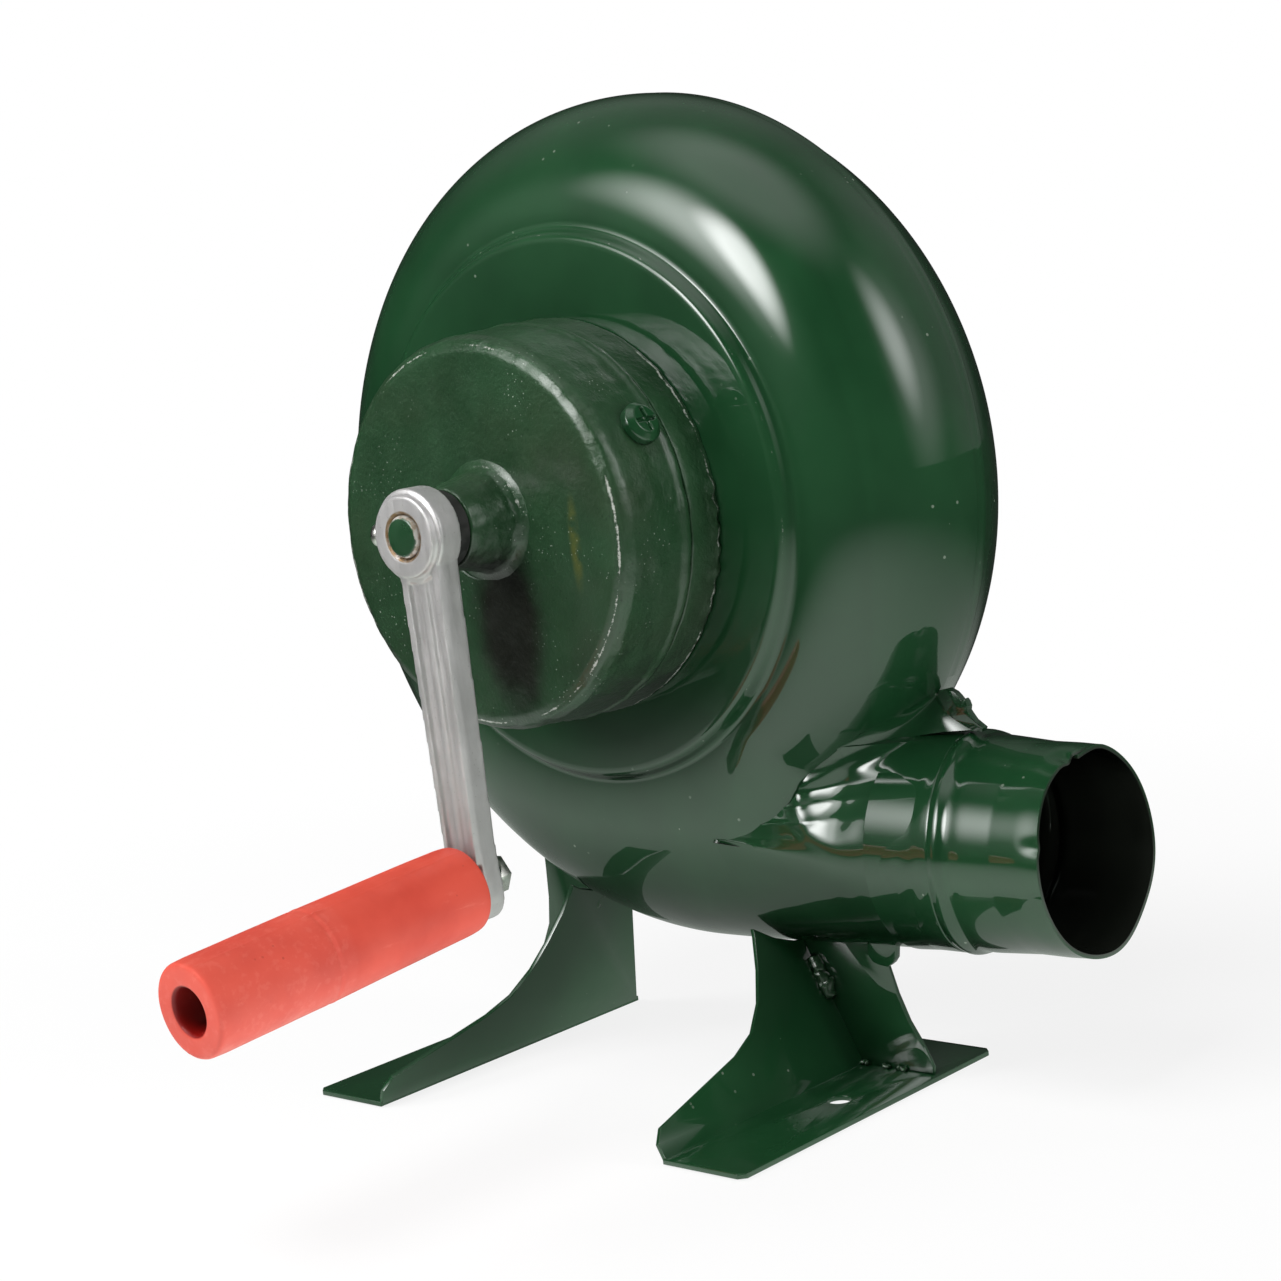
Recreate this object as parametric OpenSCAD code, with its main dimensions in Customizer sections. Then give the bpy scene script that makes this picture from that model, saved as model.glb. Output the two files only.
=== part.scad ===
// Hand crank forge blower: pressed scroll casing, cast gearbox, crank and sheet legs.
// The origin lies on the ground, midway between the two foot holes. The front faces -Y
// and the outlet points along +X.

/* [Casing] */
// Radius of the round part of the casing at its seam
case_r = 117; // [112:0.5:120]
// Height of the casing's centre above the ground
case_z = 178.5; // [176:0.5:182]
// Extra radius of the scroll's larger arc, over the left and the bottom
scroll_growth = 15.8; // [13:0.2:17]
// Radial width of the rounded bulge
bulge_w = 34; // [30:0.5:36]
// Depth of the front half, seam to flat
front_depth = 39; // [36:0.5:42]
// Depth of the rear half, seam to flat
back_depth = 35; // [32:0.5:38]
// Thickness of the pressed sheet
sheet_t = 1.2; // [1:0.1:1.5]
// Width of the front lip that laps over the rear half
lip_w = 5; // [3:0.5:7]
// Radius of the raised plateau under the gearbox
plateau_r = 81; // [79:0.5:83]
// Height of the plateau above the front flat
plateau_h = 4.2; // [3:0.1:5]
// Radius of the air inlet in the rear half
inlet_r = 36; // [30:0.5:42]

/* [Outlet] */
// Outside radius of the outlet pipe at its mouth
pipe_r = 30; // [29:0.5:31]
// Outside radius of the outlet pipe at its root
root_r = 33; // [32:0.5:34]
// Length of the straight end that a hose slides over
mouth_len = 16; // [14:0.5:20]
// Height of the pipe's axis above the ground
pipe_z = 72; // [71:0.5:73]
// Length of the outlet pipe along its axis
pipe_len = 57.2; // [50:0.2:64]
// Slant of the pipe's mouth from square
mouth_slant = 3.3; // [0:0.1:5]

/* [Gearbox] */
// Outside radius of the cast drum
drum_r = 58.7; // [57:0.1:60]
// Height of the drum's centre above the ground
drum_z = 173.4; // [172:0.1:175]
// Depth of the cover's front face, measured from the casing seam
cover_face = 82; // [81:0.5:83]
// Radius of the cover's boss at its tip
boss_tip_r = 11.6; // [11:0.1:12.5]
// Angle of the seen cover screw above the horizontal
screw_angle = 29; // [20:1:40]

/* [Gears] */
// Tooth module of all four gears
tooth_module = 1; // [1:1:1]
// Teeth on the crank gear
crank_teeth = 54; // [54:1:54]
// Teeth on the idler's large gear
idler_teeth = 44; // [44:1:44]
// Teeth on both pinions
pinion_teeth = 12; // [12:1:12]

/* [Impeller] */
// Outside radius of the impeller
impeller_r = 80; // [70:1:82]
// Number of blades
blade_count = 10; // [8:1:12]
// Axial width of a blade
blade_w = 32; // [24:1:34]

/* [Crank] */
// Radius of the crank shaft
crank_shaft_r = 6; // [5.5:0.1:6.2]
// Distance from the crank axis to the grip axis
arm_len = 99.5; // [95:0.5:102]
// Lean of the hanging arm from straight down
arm_lean = 3.7; // [0:0.1:8]
// Droop of the grip from level
grip_droop = 4.9; // [0:0.1:6]
// Sideways lean of the grip, towards the left
grip_yaw = 2.2; // [0:0.1:4]
// Length of the grip
grip_len = 96.5; // [90:1:105]
// Largest radius of the grip
grip_r = 13.4; // [13:0.1:14.5]

/* [Legs] */
// Distance between the two foot holes
foot_spacing = 144.6; // [140:0.2:148]
// Radius of a foot hole
foot_hole_r = 3.5; // [3:0.1:4]
// Thickness of the leg sheet
leg_t = 1.5; // [1.2:0.1:2]
// Lean of the right leg's web from upright
right_lean = 27; // [25:0.5:29]
// Lean of the left leg's web from upright
left_lean = 19; // [17:0.5:21]
// Width of a foot flange
flange_w = 28.8; // [27:0.2:31]

/* [Hidden] */
$fn = 96;

enamel = [0.11, 0.26, 0.14];
zinc = [0.72, 0.74, 0.73];
steel = [0.6, 0.6, 0.62];

// Clearances
lip_gap = 0.1;     // between the front lip and the rear half
sleeve_gap = 0.1;  // between the neck and the outlet pipe
run_gap = 0.05;    // radial, between a shaft and its bearing
face_gap = 0.3;    // between faces that turn past each other
trim_gap = 0.05;   // between a sheet cut to fit and the casing

// Where the casing's centre line and seam stand from the origin
case_x = -3.5;
seam_y = 36;

// The scroll's larger arc starts tangent to the round part, so its centre lies off the
// casing's along the line through their joint
grow_from = atan2(3, -4);
scroll_r = case_r + scroll_growth;
scroll_x = scroll_growth * 4 / 5;
scroll_z = case_z - scroll_growth * 3 / 5;
scroll_low = scroll_z - scroll_r;
bulge_steps = 10;
back_inset = sheet_t + lip_gap;
fan_z = drum_z + 2.1;
plateau_face = front_depth + plateau_h;
taper_len = pipe_len - mouth_len;
pipe_slope = (root_r - pipe_r) / taper_len;
neck_r = root_r - sheet_t - sleeve_gap;
neck_join = 88;
pipe_start = neck_join + 2;
neck_tuck = 12;
neck_step = 0.6;
neck_rise = 18;
bead_h = 0.6;
bead_w = 4;
mouth_spare = 3;
tab_x = 77;
tab_top = 46;
tab_depth = 9;
tab_w = 11;
tab_h = 11.5;
lip_left = 3;
lip_top = 117;
ear_from = -28.5;
ear_to = -38;
ear_toe = 9;

// Gearbox depths, all measured forward from the seam plane
cover_wall = 4;
drum_floor = plateau_face + 4.4;
skirt_edge = 55;
spigot_r = 54.5;
spigot_end = 69;
cover_back = cover_face - cover_wall;
boss_tip = 98.7;
screw_depth = 64;
screw_seat = 57.5;
screw_r = 3;
screw_head_r = 6.2;
screw_head_h = 4.2;
small_screw_r = 2.5;
small_screw_spread = 40;

// Gear train: the idler stands off both axes at exact centre distances
crank_x = 4.6;
crank_z = drum_z + 4.6;
crank_to_idler = tooth_module * (crank_teeth + pinion_teeth) / 2;
fan_to_idler = tooth_module * (idler_teeth + pinion_teeth) / 2;
axis_gap = norm([crank_x, crank_z - fan_z]);
axis_dir = atan2(fan_z - crank_z, -crank_x);
idler_turn = acos((fan_to_idler ^ 2 + axis_gap ^ 2 - crank_to_idler ^ 2) / (2 * fan_to_idler * axis_gap));
idler_dir = axis_dir + 180 - idler_turn;
idler_x = fan_to_idler * cos(idler_dir);
idler_z = fan_z + fan_to_idler * sin(idler_dir);
crank_mesh = atan2(idler_z - crank_z, idler_x - crank_x);
pinion_shift = 0.35;
backlash = 0.3;

bearing_w = 7;
bearing_r = 11;
race_in = 6;       // outer edge of the inner race
race_out = 9.2;    // inner edge of the outer race
race_dip = 0.6;
rear_bearing = 21;
front_bearing = 39.5;
tube_r = 14;
tube_end = 48;
fan_shaft_r = 4;
shaft_front = 62.5;
shaft_back = -18;
disc_back = 10.5;
disc_t = 1.5;
idler_base = 53;
idler_step = 59;
idler_end = 75;
idler_post_r = 4;
post_foot = plateau_face + 0.6;
crank_gear_back = 66;
crank_gear_w = 8;
gear_hub_r = 10;
window_ring = 16.5;
window_r = 4;
post_boss_r = 7;
pillar_r = 6;
clip_r = 6.5;
clip_t = 1;
collar_r = 6;      // sleeves that space the bearings, pinion and disc along the fan shaft
step_r = 5.6;
hub_tube_r = 11;
hub_flange_r = 20;
hub_back = -8;
nut_flats_r = 7.5;
nut_washer_r = 8;

bush_r = crank_shaft_r + 2;
arm_back = 104.4;
hub_r = 13.2;
collar_end = 114.2;
shaft_end = 114.9;
bore_chamfer = 1;
set_screw_depth = (arm_back + collar_end) / 2 - 0.4;
set_screw_r = 2.5;
bolt_r = 3;
arm_front = 111;
rib_front = 112.4;
arm_offset = 2;
arm_end_half = 7.2;
arm_tail = 11;
handle_depth = 109;
washer_r = 5.6;
washer_t = 0.6;
seat_gap = 0.2;    // keeps the tilted washer off the arm beside its pad
handle_tilt = norm([grip_droop, grip_yaw]);
pad_back = arm_back - handle_depth - washer_r * sin(handle_tilt) - seat_gap;
pad_front = 4.4;
bolt_flats = 10;
bolt_head_h = 4;
nut_h = 5;
counterbore_r = 6.4;
counterbore_deep = 16;

flange_front = -61.2;
flange_back = 57;
bend_x = foot_spacing / 2 - 14.6;
gusset_y = 29.5;
web_top = case_z - case_r + 2;
gusset_top = web_top + 8;
// Web outline as seen from the side: distance back, height
web_outline = [[flange_front + 0.5, 0.75], [flange_front + 0.5, 5], [flange_front + 4, 8.5], [-34, 13.5],
    [-18, 16.8], [-8, 20.5], [0, 27], [6, 35], [11, 43.6], [14, 51], [15, web_top], [38, web_top],
    [flange_back - 1, 0.75]];

// Turns a piece drawn as seen from the front: x right, y up, z forward from the seam
module facing() {
    translate([case_x, seam_y, 0])
        rotate([90, 0, 0])
            children();
}

// Half section of a casing shell from its axis out to the seam
function bowl(r, inset, depth, skirt = 0) = concat(
    [[0, -skirt], [0, depth - inset]],
    [for (i = [0:bulge_steps])
        let (a = 90 * i / bulge_steps)
        [r - bulge_w + (bulge_w - inset) * sin(a), (depth - inset) * cos(a)]],
    skirt > 0 ? [[r - inset, -skirt]] : []);

module turned(x, z, sweep) {
    translate([x, z, 0])
        rotate([0, 0, grow_from])
            mirror([0, sweep < 0 ? 1 : 0, 0])
                rotate_extrude(angle = abs(sweep))
                    children();
}

// Rounded duct section where the neck leaves the scroll
function neck_mouth(inset, depth, skirt) = let (
        low = scroll_low + bulge_w,
        high = low + neck_rise,
        rise = bulge_w - inset,
        out = depth - inset)
    concat(
        [[low - rise, -skirt]],
        [for (a = [0:15:90]) [low - rise * cos(a), out * sin(a)]],
        [for (a = [90:15:180]) [high - rise * cos(a), out * sin(a)]],
        [[high + rise, -skirt]]);

function neck_ring(r, skirt) = concat(
    [[pipe_z - r, -skirt]],
    [for (a = [0:7.5:180]) [pipe_z - r * cos(a), r * sin(a)]],
    [[pipe_z + r, -skirt]]);

// Height of the pipe's top edge at a distance x from the casing's centre line
function pipe_top(x) = pipe_z + root_r - pipe_slope * (x - pipe_start);

module cross_slice(x, outline) {
    translate([x, 0, 0])
        rotate([90, 0, 90])
            linear_extrude(1)
                polygon(outline);
}

// A skirt runs the form on past the seam, for use as a cutter
module neck_half(inset, depth, end_inset, skirt = 0) {
    hull() {
        cross_slice(scroll_x - (skirt > 0 ? 2 : 0), neck_mouth(inset, depth, skirt));
        cross_slice(neck_join - end_inset, neck_ring(neck_r + neck_step - end_inset, skirt));
    }
    translate([neck_join - end_inset, pipe_z, 0])
        rotate([0, 90, 0])
            rotate([0, 0, 90])
                rotate_extrude(angle = skirt > 0 ? 360 : 180)
                    neck_sleeve(neck_r - end_inset, neck_tuck + end_inset + skirt);
}

// Half section of the sleeve that tucks into the tapered pipe
module neck_sleeve(r, length) {
    polygon([[0, 0], [r, 0], [r - pipe_slope * length, length], [0, length]]);
}

// Solid filling one half of the casing, drawn inward from the outer skin by inset. A skirt
// runs it on past the seam, and a lip does so only round the scroll, clear of the neck.
module half_scroll(inset, depth, end_inset, skirt = 0, lip = 0) {
    difference() {
        union() {
            turned(0, case_z, -90 - grow_from)
                polygon(bowl(case_r, inset, depth, max(skirt, lip)));
            turned(scroll_x, scroll_z, 270 - grow_from)
                polygon(bowl(scroll_r, inset, depth, max(skirt, lip)));
        }
        if (lip > 0)
            translate([lip_left, 0, -lip - 1])
                cube([case_r * 2, lip_top, lip + 1]);
    }
    neck_half(inset, depth, end_inset, skirt);
}

module plateau(inset) {
    foot = plateau_r + 2.2 - inset;
    top = plateau_face - inset;
    translate([0, fan_z, 0])
        rotate_extrude()
            polygon([[0, front_depth - 6], [0, top], [plateau_r - 1.8 - inset, top],
                [plateau_r - inset, top - 1.4], [foot, front_depth - inset],
                [foot, front_depth - 6]]);
}

// Small sheet tab that hangs from the bottom of the neck
module neck_tab() {
    translate([tab_x, tab_top, tab_depth])
        linear_extrude(sheet_t * 2)
            polygon([[-tab_w / 2, 0], [-tab_w / 2, 2 - tab_h], [2 - tab_w / 2, -tab_h],
                [tab_w / 2 - 2, -tab_h], [tab_w / 2, 2 - tab_h], [tab_w / 2, 0]]);
}

function on_rim(r, a) = [r * cos(a), case_z + r * sin(a)];

// Flat ear that fills the crotch between the round casing and the top of the outlet
module crotch_ear() {
    top = on_rim(case_r - sheet_t / 2, ear_from);
    side = top[0] + 3;
    end = side + ear_toe;
    translate([0, 0, sheet_t / 2])
        linear_extrude(sheet_t * 2)
            polygon([top, [side, top[1] - 3], [side + 0.5, top[1] - 8], [side + 2, top[1] - 9.5],
                [side + 4, top[1] - 11.5], [side + 5.5, pipe_top(end) + 4],
                [end, pipe_top(end) + face_gap + 1], [end, pipe_top(end) + face_gap],
                [pipe_start, pipe_top(pipe_start) + face_gap],
                on_rim(case_r - sheet_t / 2, ear_to)]);
}

module housing_screw_spots() {
    for (a = [30, 150, 270])
        translate([small_screw_spread * cos(a), fan_z + small_screw_spread * sin(a), 0])
            children();
}

module casing_front() {
    color(enamel)
        facing()
            difference() {
                union() {
                    half_scroll(0, front_depth, 0, 0, lip_w);
                    plateau(0);
                    neck_tab();
                    crotch_ear();
                }
                half_scroll(sheet_t, front_depth, sheet_t, lip_w + 1);
                plateau(sheet_t);
                translate([0, fan_z, 0])
                    cylinder(r = tube_r + 0.2, h = plateau_face + 1);
                housing_screw_spots()
                    cylinder(r = small_screw_r + 0.2, h = plateau_face + 1);
            }
}

module inlet_rim() {
    translate([0, fan_z, 0])
        rotate_extrude()
            polygon([[inlet_r, back_depth - sheet_t], [inlet_r + 4, back_depth - sheet_t],
                [inlet_r + 4, back_depth], [inlet_r + 2, back_depth + 0.8],
                [inlet_r + sheet_t, back_depth + 2.4], [inlet_r + sheet_t, back_depth + 4],
                [inlet_r, back_depth + 4]]);
}

module casing_back() {
    full_depth = back_depth + back_inset;
    color(enamel)
        facing()
            mirror([0, 0, 1])
                union() {
                    difference() {
                        half_scroll(back_inset, full_depth, 0);
                        half_scroll(back_inset + sheet_t, full_depth, sheet_t, 1);
                        translate([0, fan_z, 0])
                            cylinder(r = inlet_r, h = full_depth + 1);
                    }
                    inlet_rim();
                }
}

// Rolled sheet: beaded root, taper, then a straight end with a slanted mouth
module outlet_pipe() {
    long = pipe_len + mouth_spare;
    color(enamel)
        facing()
            translate([pipe_start, pipe_z, 0])
                rotate([0, 90, 0])
                    difference() {
                        rotate_extrude()
                            polygon([[root_r - sheet_t, 0], [root_r + bead_h, 0],
                                [root_r - pipe_slope * bead_w, bead_w], [pipe_r, taper_len],
                                [pipe_r, long], [pipe_r - sheet_t, long],
                                [pipe_r - sheet_t, taper_len]]);
                        translate([0, 0, pipe_len])
                            rotate([-mouth_slant, 0, 0])
                                translate([-2 * pipe_r, -2 * pipe_r, 0])
                                    cube([4 * pipe_r, 4 * pipe_r, 2 * mouth_spare]);
                    }
}

// Everything inside the casing's outer skin, for cutting the legs to fit
module casing_bulk() {
    facing()
        union() {
            half_scroll(-trim_gap, front_depth, -trim_gap);
            mirror([0, 0, 1])
                half_scroll(-trim_gap, front_depth, -trim_gap);
        }
}

function up_web(z) = z / cos(leg_lean);

// One bent sheet: foot flange on the ground and a leaning web hollowed in front
module leg_sheet(lean) {
    difference() {
        union() {
            translate([bend_x, 0, 0])
                linear_extrude(leg_t)
                    polygon([[0, flange_front], [flange_w - 2, flange_front],
                        [flange_w, flange_front + 2], [flange_w, flange_back - 2],
                        [flange_w - 2, flange_back], [0, flange_back]]);
            translate([bend_x, 0, 0])
                rotate([0, -lean, 0])
                    rotate([90, 0, 90])
                        linear_extrude(leg_t)
                            polygon([for (p = web_outline) [p[0], p[1] / cos(lean)]]);
        }
        translate([foot_spacing / 2, 0, -1])
            cylinder(r = foot_hole_r, h = leg_t + 2);
    }
}

// Face of the leaning web that the gusset butts against, at a height z
function web_face(z, lean) = bend_x + leg_t / cos(lean) - z * tan(lean);

module gusset_sheet(lean, trim) {
    edge = foot_spacing / 2;
    translate([0, gusset_y + leg_t, 0])
        rotate([90, 0, 0])
            linear_extrude(leg_t)
                polygon([[web_face(leg_t, lean), leg_t], [edge + 12.4, leg_t],
                    [edge + 12.4, leg_t + 2.4], [edge + 9.4, 10], [edge + 5, 17],
                    [edge + 1.6 - trim / 2, 25], [edge - 0.8 - trim, 33], [edge - 2 - trim, 42],
                    [edge - 2.2 - trim, 52], [edge - 2.2 - trim, gusset_top],
                    [web_face(gusset_top, lean), gusset_top]]);
}

module cut_to_casing() {
    color(enamel)
        difference() {
            children();
            casing_bulk();
        }
}

module leg_left() {
    cut_to_casing()
        mirror([1, 0, 0])
            leg_sheet(left_lean);
}

module leg_right() {
    cut_to_casing()
        leg_sheet(right_lean);
}

module gusset_left() {
    cut_to_casing()
        mirror([1, 0, 0])
            gusset_sheet(left_lean, 3);
}

module gusset_right() {
    cut_to_casing()
        gusset_sheet(right_lean, 0);
}

module at_drum() {
    translate([0, drum_z, 0])
        children();
}

module at_fan() {
    translate([0, fan_z, 0])
        children();
}

module at_idler() {
    translate([idler_x, idler_z, 0])
        children();
}

module at_crank() {
    translate([crank_x, crank_z, 0])
        children();
}

module rod(r, from, to) {
    translate([0, 0, from])
        cylinder(r = r, h = to - from);
}

// Both cover screws point inward on one diameter of the drum
module at_cover_screws() {
    for (a = [screw_angle, screw_angle + 180])
        translate([0, drum_z, screw_depth])
            rotate([0, 0, a])
                rotate([0, 90, 0])
                    children();
}

module drum_shell() {
    rotate_extrude()
        polygon([[0, plateau_face], [drum_r, plateau_face], [drum_r + 0.3, plateau_face + 1.5],
            [drum_r, skirt_edge], [spigot_r, skirt_edge], [spigot_r, spigot_end],
            [spigot_r - 3, spigot_end], [spigot_r - 3, drum_floor], [0, drum_floor]]);
}

module gear_housing() {
    color(enamel)
        facing()
            difference() {
                union() {
                    at_drum()
                        drum_shell();
                    at_fan()
                        rod(tube_r, rear_bearing - 1, tube_end);
                    at_idler()
                        rod(post_boss_r, drum_floor - 1, idler_base - face_gap);
                    housing_screw_spots()
                        rod(pillar_r, drum_floor - 1, drum_floor + 4);
                }
                at_fan() {
                    rod(bearing_r - 1.5, 0, tube_end + 1);
                    rod(bearing_r, 0, rear_bearing + bearing_w);
                    rod(bearing_r, front_bearing, tube_end + 1);
                }
                at_idler()
                    rod(idler_post_r, post_foot, idler_base);
                housing_screw_spots()
                    rod(small_screw_r, 0, drum_floor + 3);
                at_cover_screws()
                    cylinder(r = screw_r, h = drum_r);
            }
}

module gear_cover() {
    color(enamel)
        facing()
            difference() {
                union() {
                    at_drum()
                        rotate_extrude()
                            polygon([[0, cover_back], [spigot_r + 0.1, cover_back],
                                [spigot_r + 0.1, skirt_edge], [drum_r - 0.2, skirt_edge],
                                [drum_r - 1.3, cover_face - 4.2], [drum_r - 2.4, cover_face - 1.6],
                                [drum_r - 5.4, cover_face], [0, cover_face]]);
                    at_crank()
                        rotate_extrude()
                            polygon([[0, cover_back], [19, cover_face - 0.4], [16.2, cover_face + 0.8],
                                [14.6, cover_face + 3.4], [13.8, cover_face + 7],
                                [boss_tip_r, boss_tip], [0, boss_tip]]);
                }
                at_crank()
                    rod(bush_r, cover_back - 1, boss_tip + 1);
                at_cover_screws() {
                    cylinder(r = screw_r + 0.2, h = drum_r);
                    translate([0, 0, screw_seat])
                        cylinder(r = screw_head_r + 0.4, h = drum_r);
                }
            }
}

module pan_head(r, h) {
    difference() {
        union() {
            cylinder(r = r, h = h * 0.6);
            translate([0, 0, h * 0.6])
                cylinder(r1 = r, r2 = r * 0.7, h = h * 0.4);
        }
        for (a = [0, 90])
            rotate([0, 0, a])
                translate([-r * 0.6, -0.6, h - 1.2])
                    cube([r * 1.2, 1.2, 2]);
    }
}

module cover_screws() {
    color(enamel)
        facing()
            at_cover_screws() {
                rod(screw_r, spigot_r - 4, screw_seat);
                translate([0, 0, screw_seat])
                    pan_head(screw_head_r, screw_head_h);
            }
}

module housing_screws() {
    color(zinc)
        facing()
            housing_screw_spots() {
                rod(small_screw_r, plateau_face - sheet_t, drum_floor + 2.5);
                translate([0, 0, plateau_face - sheet_t])
                    rotate([180, 0, 0])
                        pan_head(4.6, 2.8);
            }
}

module shaft_bearing() {
    rotate_extrude()
        polygon([[fan_shaft_r + run_gap, 0], [race_in, 0], [race_in, race_dip], [race_out, race_dip],
            [race_out, 0], [bearing_r, 0], [bearing_r, bearing_w], [race_out, bearing_w],
            [race_out, bearing_w - race_dip], [race_in, bearing_w - race_dip],
            [race_in, bearing_w], [fan_shaft_r + run_gap, bearing_w]]);
}

module fan_bearings() {
    color(steel)
        facing()
            at_fan()
                for (z = [rear_bearing, front_bearing])
                    translate([0, 0, z])
                        shaft_bearing();
}

module crank_bush() {
    color([0.71, 0.55, 0.3])
        facing()
            at_crank()
                difference() {
                    rod(bush_r, cover_back, boss_tip);
                    rod(crank_shaft_r + run_gap, cover_back - 1, boss_tip + 1);
                }
}

module idler_post() {
    color(steel)
        facing()
            at_idler()
                rod(idler_post_r, post_foot, idler_end + 2.4);
}

module idler_clip() {
    color(steel)
        facing()
            at_idler()
                difference() {
                    rod(clip_r, idler_end + face_gap, idler_end + face_gap + clip_t);
                    rod(idler_post_r, idler_end, idler_end + face_gap + clip_t + 1);
                }
}

// Involute gear outlines: a flank point at radius r for one side of a tooth
function involute(a) = tan(a) - a * PI / 180;

function half_tooth(teeth, shift, r) = let (
        pitch = tooth_module * teeth / 2,
        base = pitch * cos(20),
        thick = (PI / 2 + 2 * shift * tan(20)) * tooth_module - backlash / 2,
        a = acos(base / max(r, base)))
    (thick / (2 * pitch) + involute(20) - involute(a)) * 180 / PI;

function flank_radii(teeth, shift) = let (
        pitch = tooth_module * teeth / 2,
        root = pitch - tooth_module * (1.25 - shift),
        base = max(root, pitch * cos(20)),
        tip = pitch + tooth_module * (0.9 + shift))
    concat(root < base ? [root] : [], [for (i = [0:4]) base + (tip - base) * i / 4]);

function gear_outline(teeth, shift) = let (radii = flank_radii(teeth, shift), n = len(radii))
    [for (t = [0:teeth - 1], i = [0:2 * n - 1])
        let (
            r = radii[i < n ? i : 2 * n - 1 - i],
            side = i < n ? -1 : 1,
            a = 360 * t / teeth + side * half_tooth(teeth, shift, r))
        r * [cos(a), sin(a)]];

module toothed(teeth, shift, from, to) {
    translate([0, 0, from])
        linear_extrude(to - from)
            polygon(gear_outline(teeth, shift));
}

module crank_gear() {
    color(steel)
        facing()
            at_crank()
                difference() {
                    union() {
                        rotate([0, 0, crank_mesh])
                            toothed(crank_teeth, -pinion_shift, crank_gear_back,
                                crank_gear_back + crank_gear_w);
                        rod(gear_hub_r, crank_gear_back, cover_back - face_gap);
                    }
                    rod(crank_shaft_r, crank_gear_back - 1, cover_back);
                    for (a = [0:60:300])
                        rotate([0, 0, a])
                            translate([window_ring, 0, 0])
                                rod(window_r, crank_gear_back - 1, crank_gear_back + crank_gear_w + 1);
                }
}

module idler_pinion() {
    color(steel)
        facing()
            at_idler()
                difference() {
                    rotate([0, 0, crank_mesh + 180 + 180 / pinion_teeth])
                        toothed(pinion_teeth, pinion_shift, idler_step, idler_end);
                    rod(idler_post_r + run_gap, idler_step - 1, idler_end + 1);
                }
}

module idler_gear() {
    color(steel)
        facing()
            at_idler()
                difference() {
                    rotate([0, 0, idler_dir + 180])
                        toothed(idler_teeth, -pinion_shift, idler_base, idler_step);
                    rod(idler_post_r + run_gap, idler_base - 1, idler_step + 1);
                }
}

module fan_pinion() {
    color(steel)
        facing()
            at_fan()
                difference() {
                    union() {
                        rotate([0, 0, idler_dir + 180 / pinion_teeth])
                            toothed(pinion_teeth, pinion_shift, idler_base - 1, idler_step + 1);
                        rod(collar_r, front_bearing + bearing_w + face_gap, idler_base - 1);
                    }
                    rod(fan_shaft_r, front_bearing, idler_step + 2);
                }
}

module fan_shaft() {
    color(steel)
        facing()
            at_fan() {
                rod(fan_shaft_r, shaft_back, shaft_front);
                rod(step_r, rear_bearing + bearing_w + face_gap, front_bearing - face_gap);
            }
}

module shaft_spacer() {
    color(steel)
        facing()
            at_fan()
                difference() {
                    rod(collar_r, disc_back + disc_t, rear_bearing - face_gap);
                    rod(fan_shaft_r, disc_back, rear_bearing);
                }
}

module impeller_disc() {
    color(zinc)
        facing()
            at_fan()
                difference() {
                    rod(impeller_r, disc_back, disc_back + disc_t);
                    rod(fan_shaft_r, disc_back - 1, disc_back + disc_t + 1);
                }
}

module impeller_hub() {
    color(zinc)
        facing()
            at_fan()
                difference() {
                    union() {
                        rod(hub_tube_r, hub_back, disc_back);
                        rod(hub_flange_r, disc_back - 2, disc_back);
                    }
                    rod(fan_shaft_r, hub_back - 1, disc_back + 1);
                }
}

// Centre line of a backward curved blade, from hub to rim
function blade_line(f, side) = let (
        r = 28 + (impeller_r - 30) * f,
        a = -34 * f ^ 1.3)
    [r * cos(a) - side * sin(a + 20), r * sin(a) + side * cos(a + 20)];

module impeller_blades() {
    color(zinc)
        facing()
            at_fan()
                for (i = [0:blade_count - 1])
                    rotate([0, 0, i * 360 / blade_count])
                        translate([0, 0, disc_back - blade_w])
                            linear_extrude(blade_w)
                                polygon(concat([for (f = [0:0.125:1]) blade_line(f, 0.6)],
                                    [for (f = [1:-0.125:0]) blade_line(f, -0.6)]));
}

module impeller_nut() {
    color(zinc)
        facing()
            at_fan()
                difference() {
                    union() {
                        rod(nut_washer_r, hub_back - 1.5, hub_back);
                        translate([0, 0, hub_back - 8])
                            cylinder(r = nut_flats_r, h = 6.5, $fn = 6);
                    }
                    rod(fan_shaft_r, hub_back - 9, hub_back + 1);
                }
}

module crank_shaft() {
    color(enamel)
        facing()
            at_crank()
                union() {
                    rod(crank_shaft_r, crank_gear_back - 1.5, shaft_end - 0.8);
                    translate([0, 0, shaft_end - 0.8])
                        cylinder(r1 = crank_shaft_r, r2 = crank_shaft_r - 0.8, h = 0.8);
                }
}

module thrust_washer() {
    color([0.08, 0.08, 0.08])
        facing()
            at_crank()
                difference() {
                    rod(11, boss_tip + face_gap, arm_back);
                    rod(crank_shaft_r, boss_tip, arm_back + 1);
                }
}

// Drawn with the arm hanging along -y from the crank axis
module at_arm() {
    at_crank()
        rotate([0, 0, arm_lean])
            children();
}

// Frame of the drooping grip axis, z along it away from the arm
module at_grip() {
    at_arm()
        translate([0, -arm_len, handle_depth])
            rotate([grip_droop, -grip_yaw, 0])
                children();
}

module arm_taper(half_top, half_end, to) {
    translate([0, 0, arm_back])
        linear_extrude(to - arm_back)
            polygon([[arm_offset + half_top, -4], [arm_offset - half_top, -4],
                [-half_end, -arm_len], [half_end, -arm_len]]);
}

module arm_rib(side) {
    translate([0, 0, arm_back])
        linear_extrude(rib_front - arm_back)
            polygon([[arm_offset + side * 7.9, -8], [side * 6.2, -arm_len + 6],
                [side * 4.2, -arm_len + 6], [arm_offset + side * 5, -11]]);
}

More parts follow.
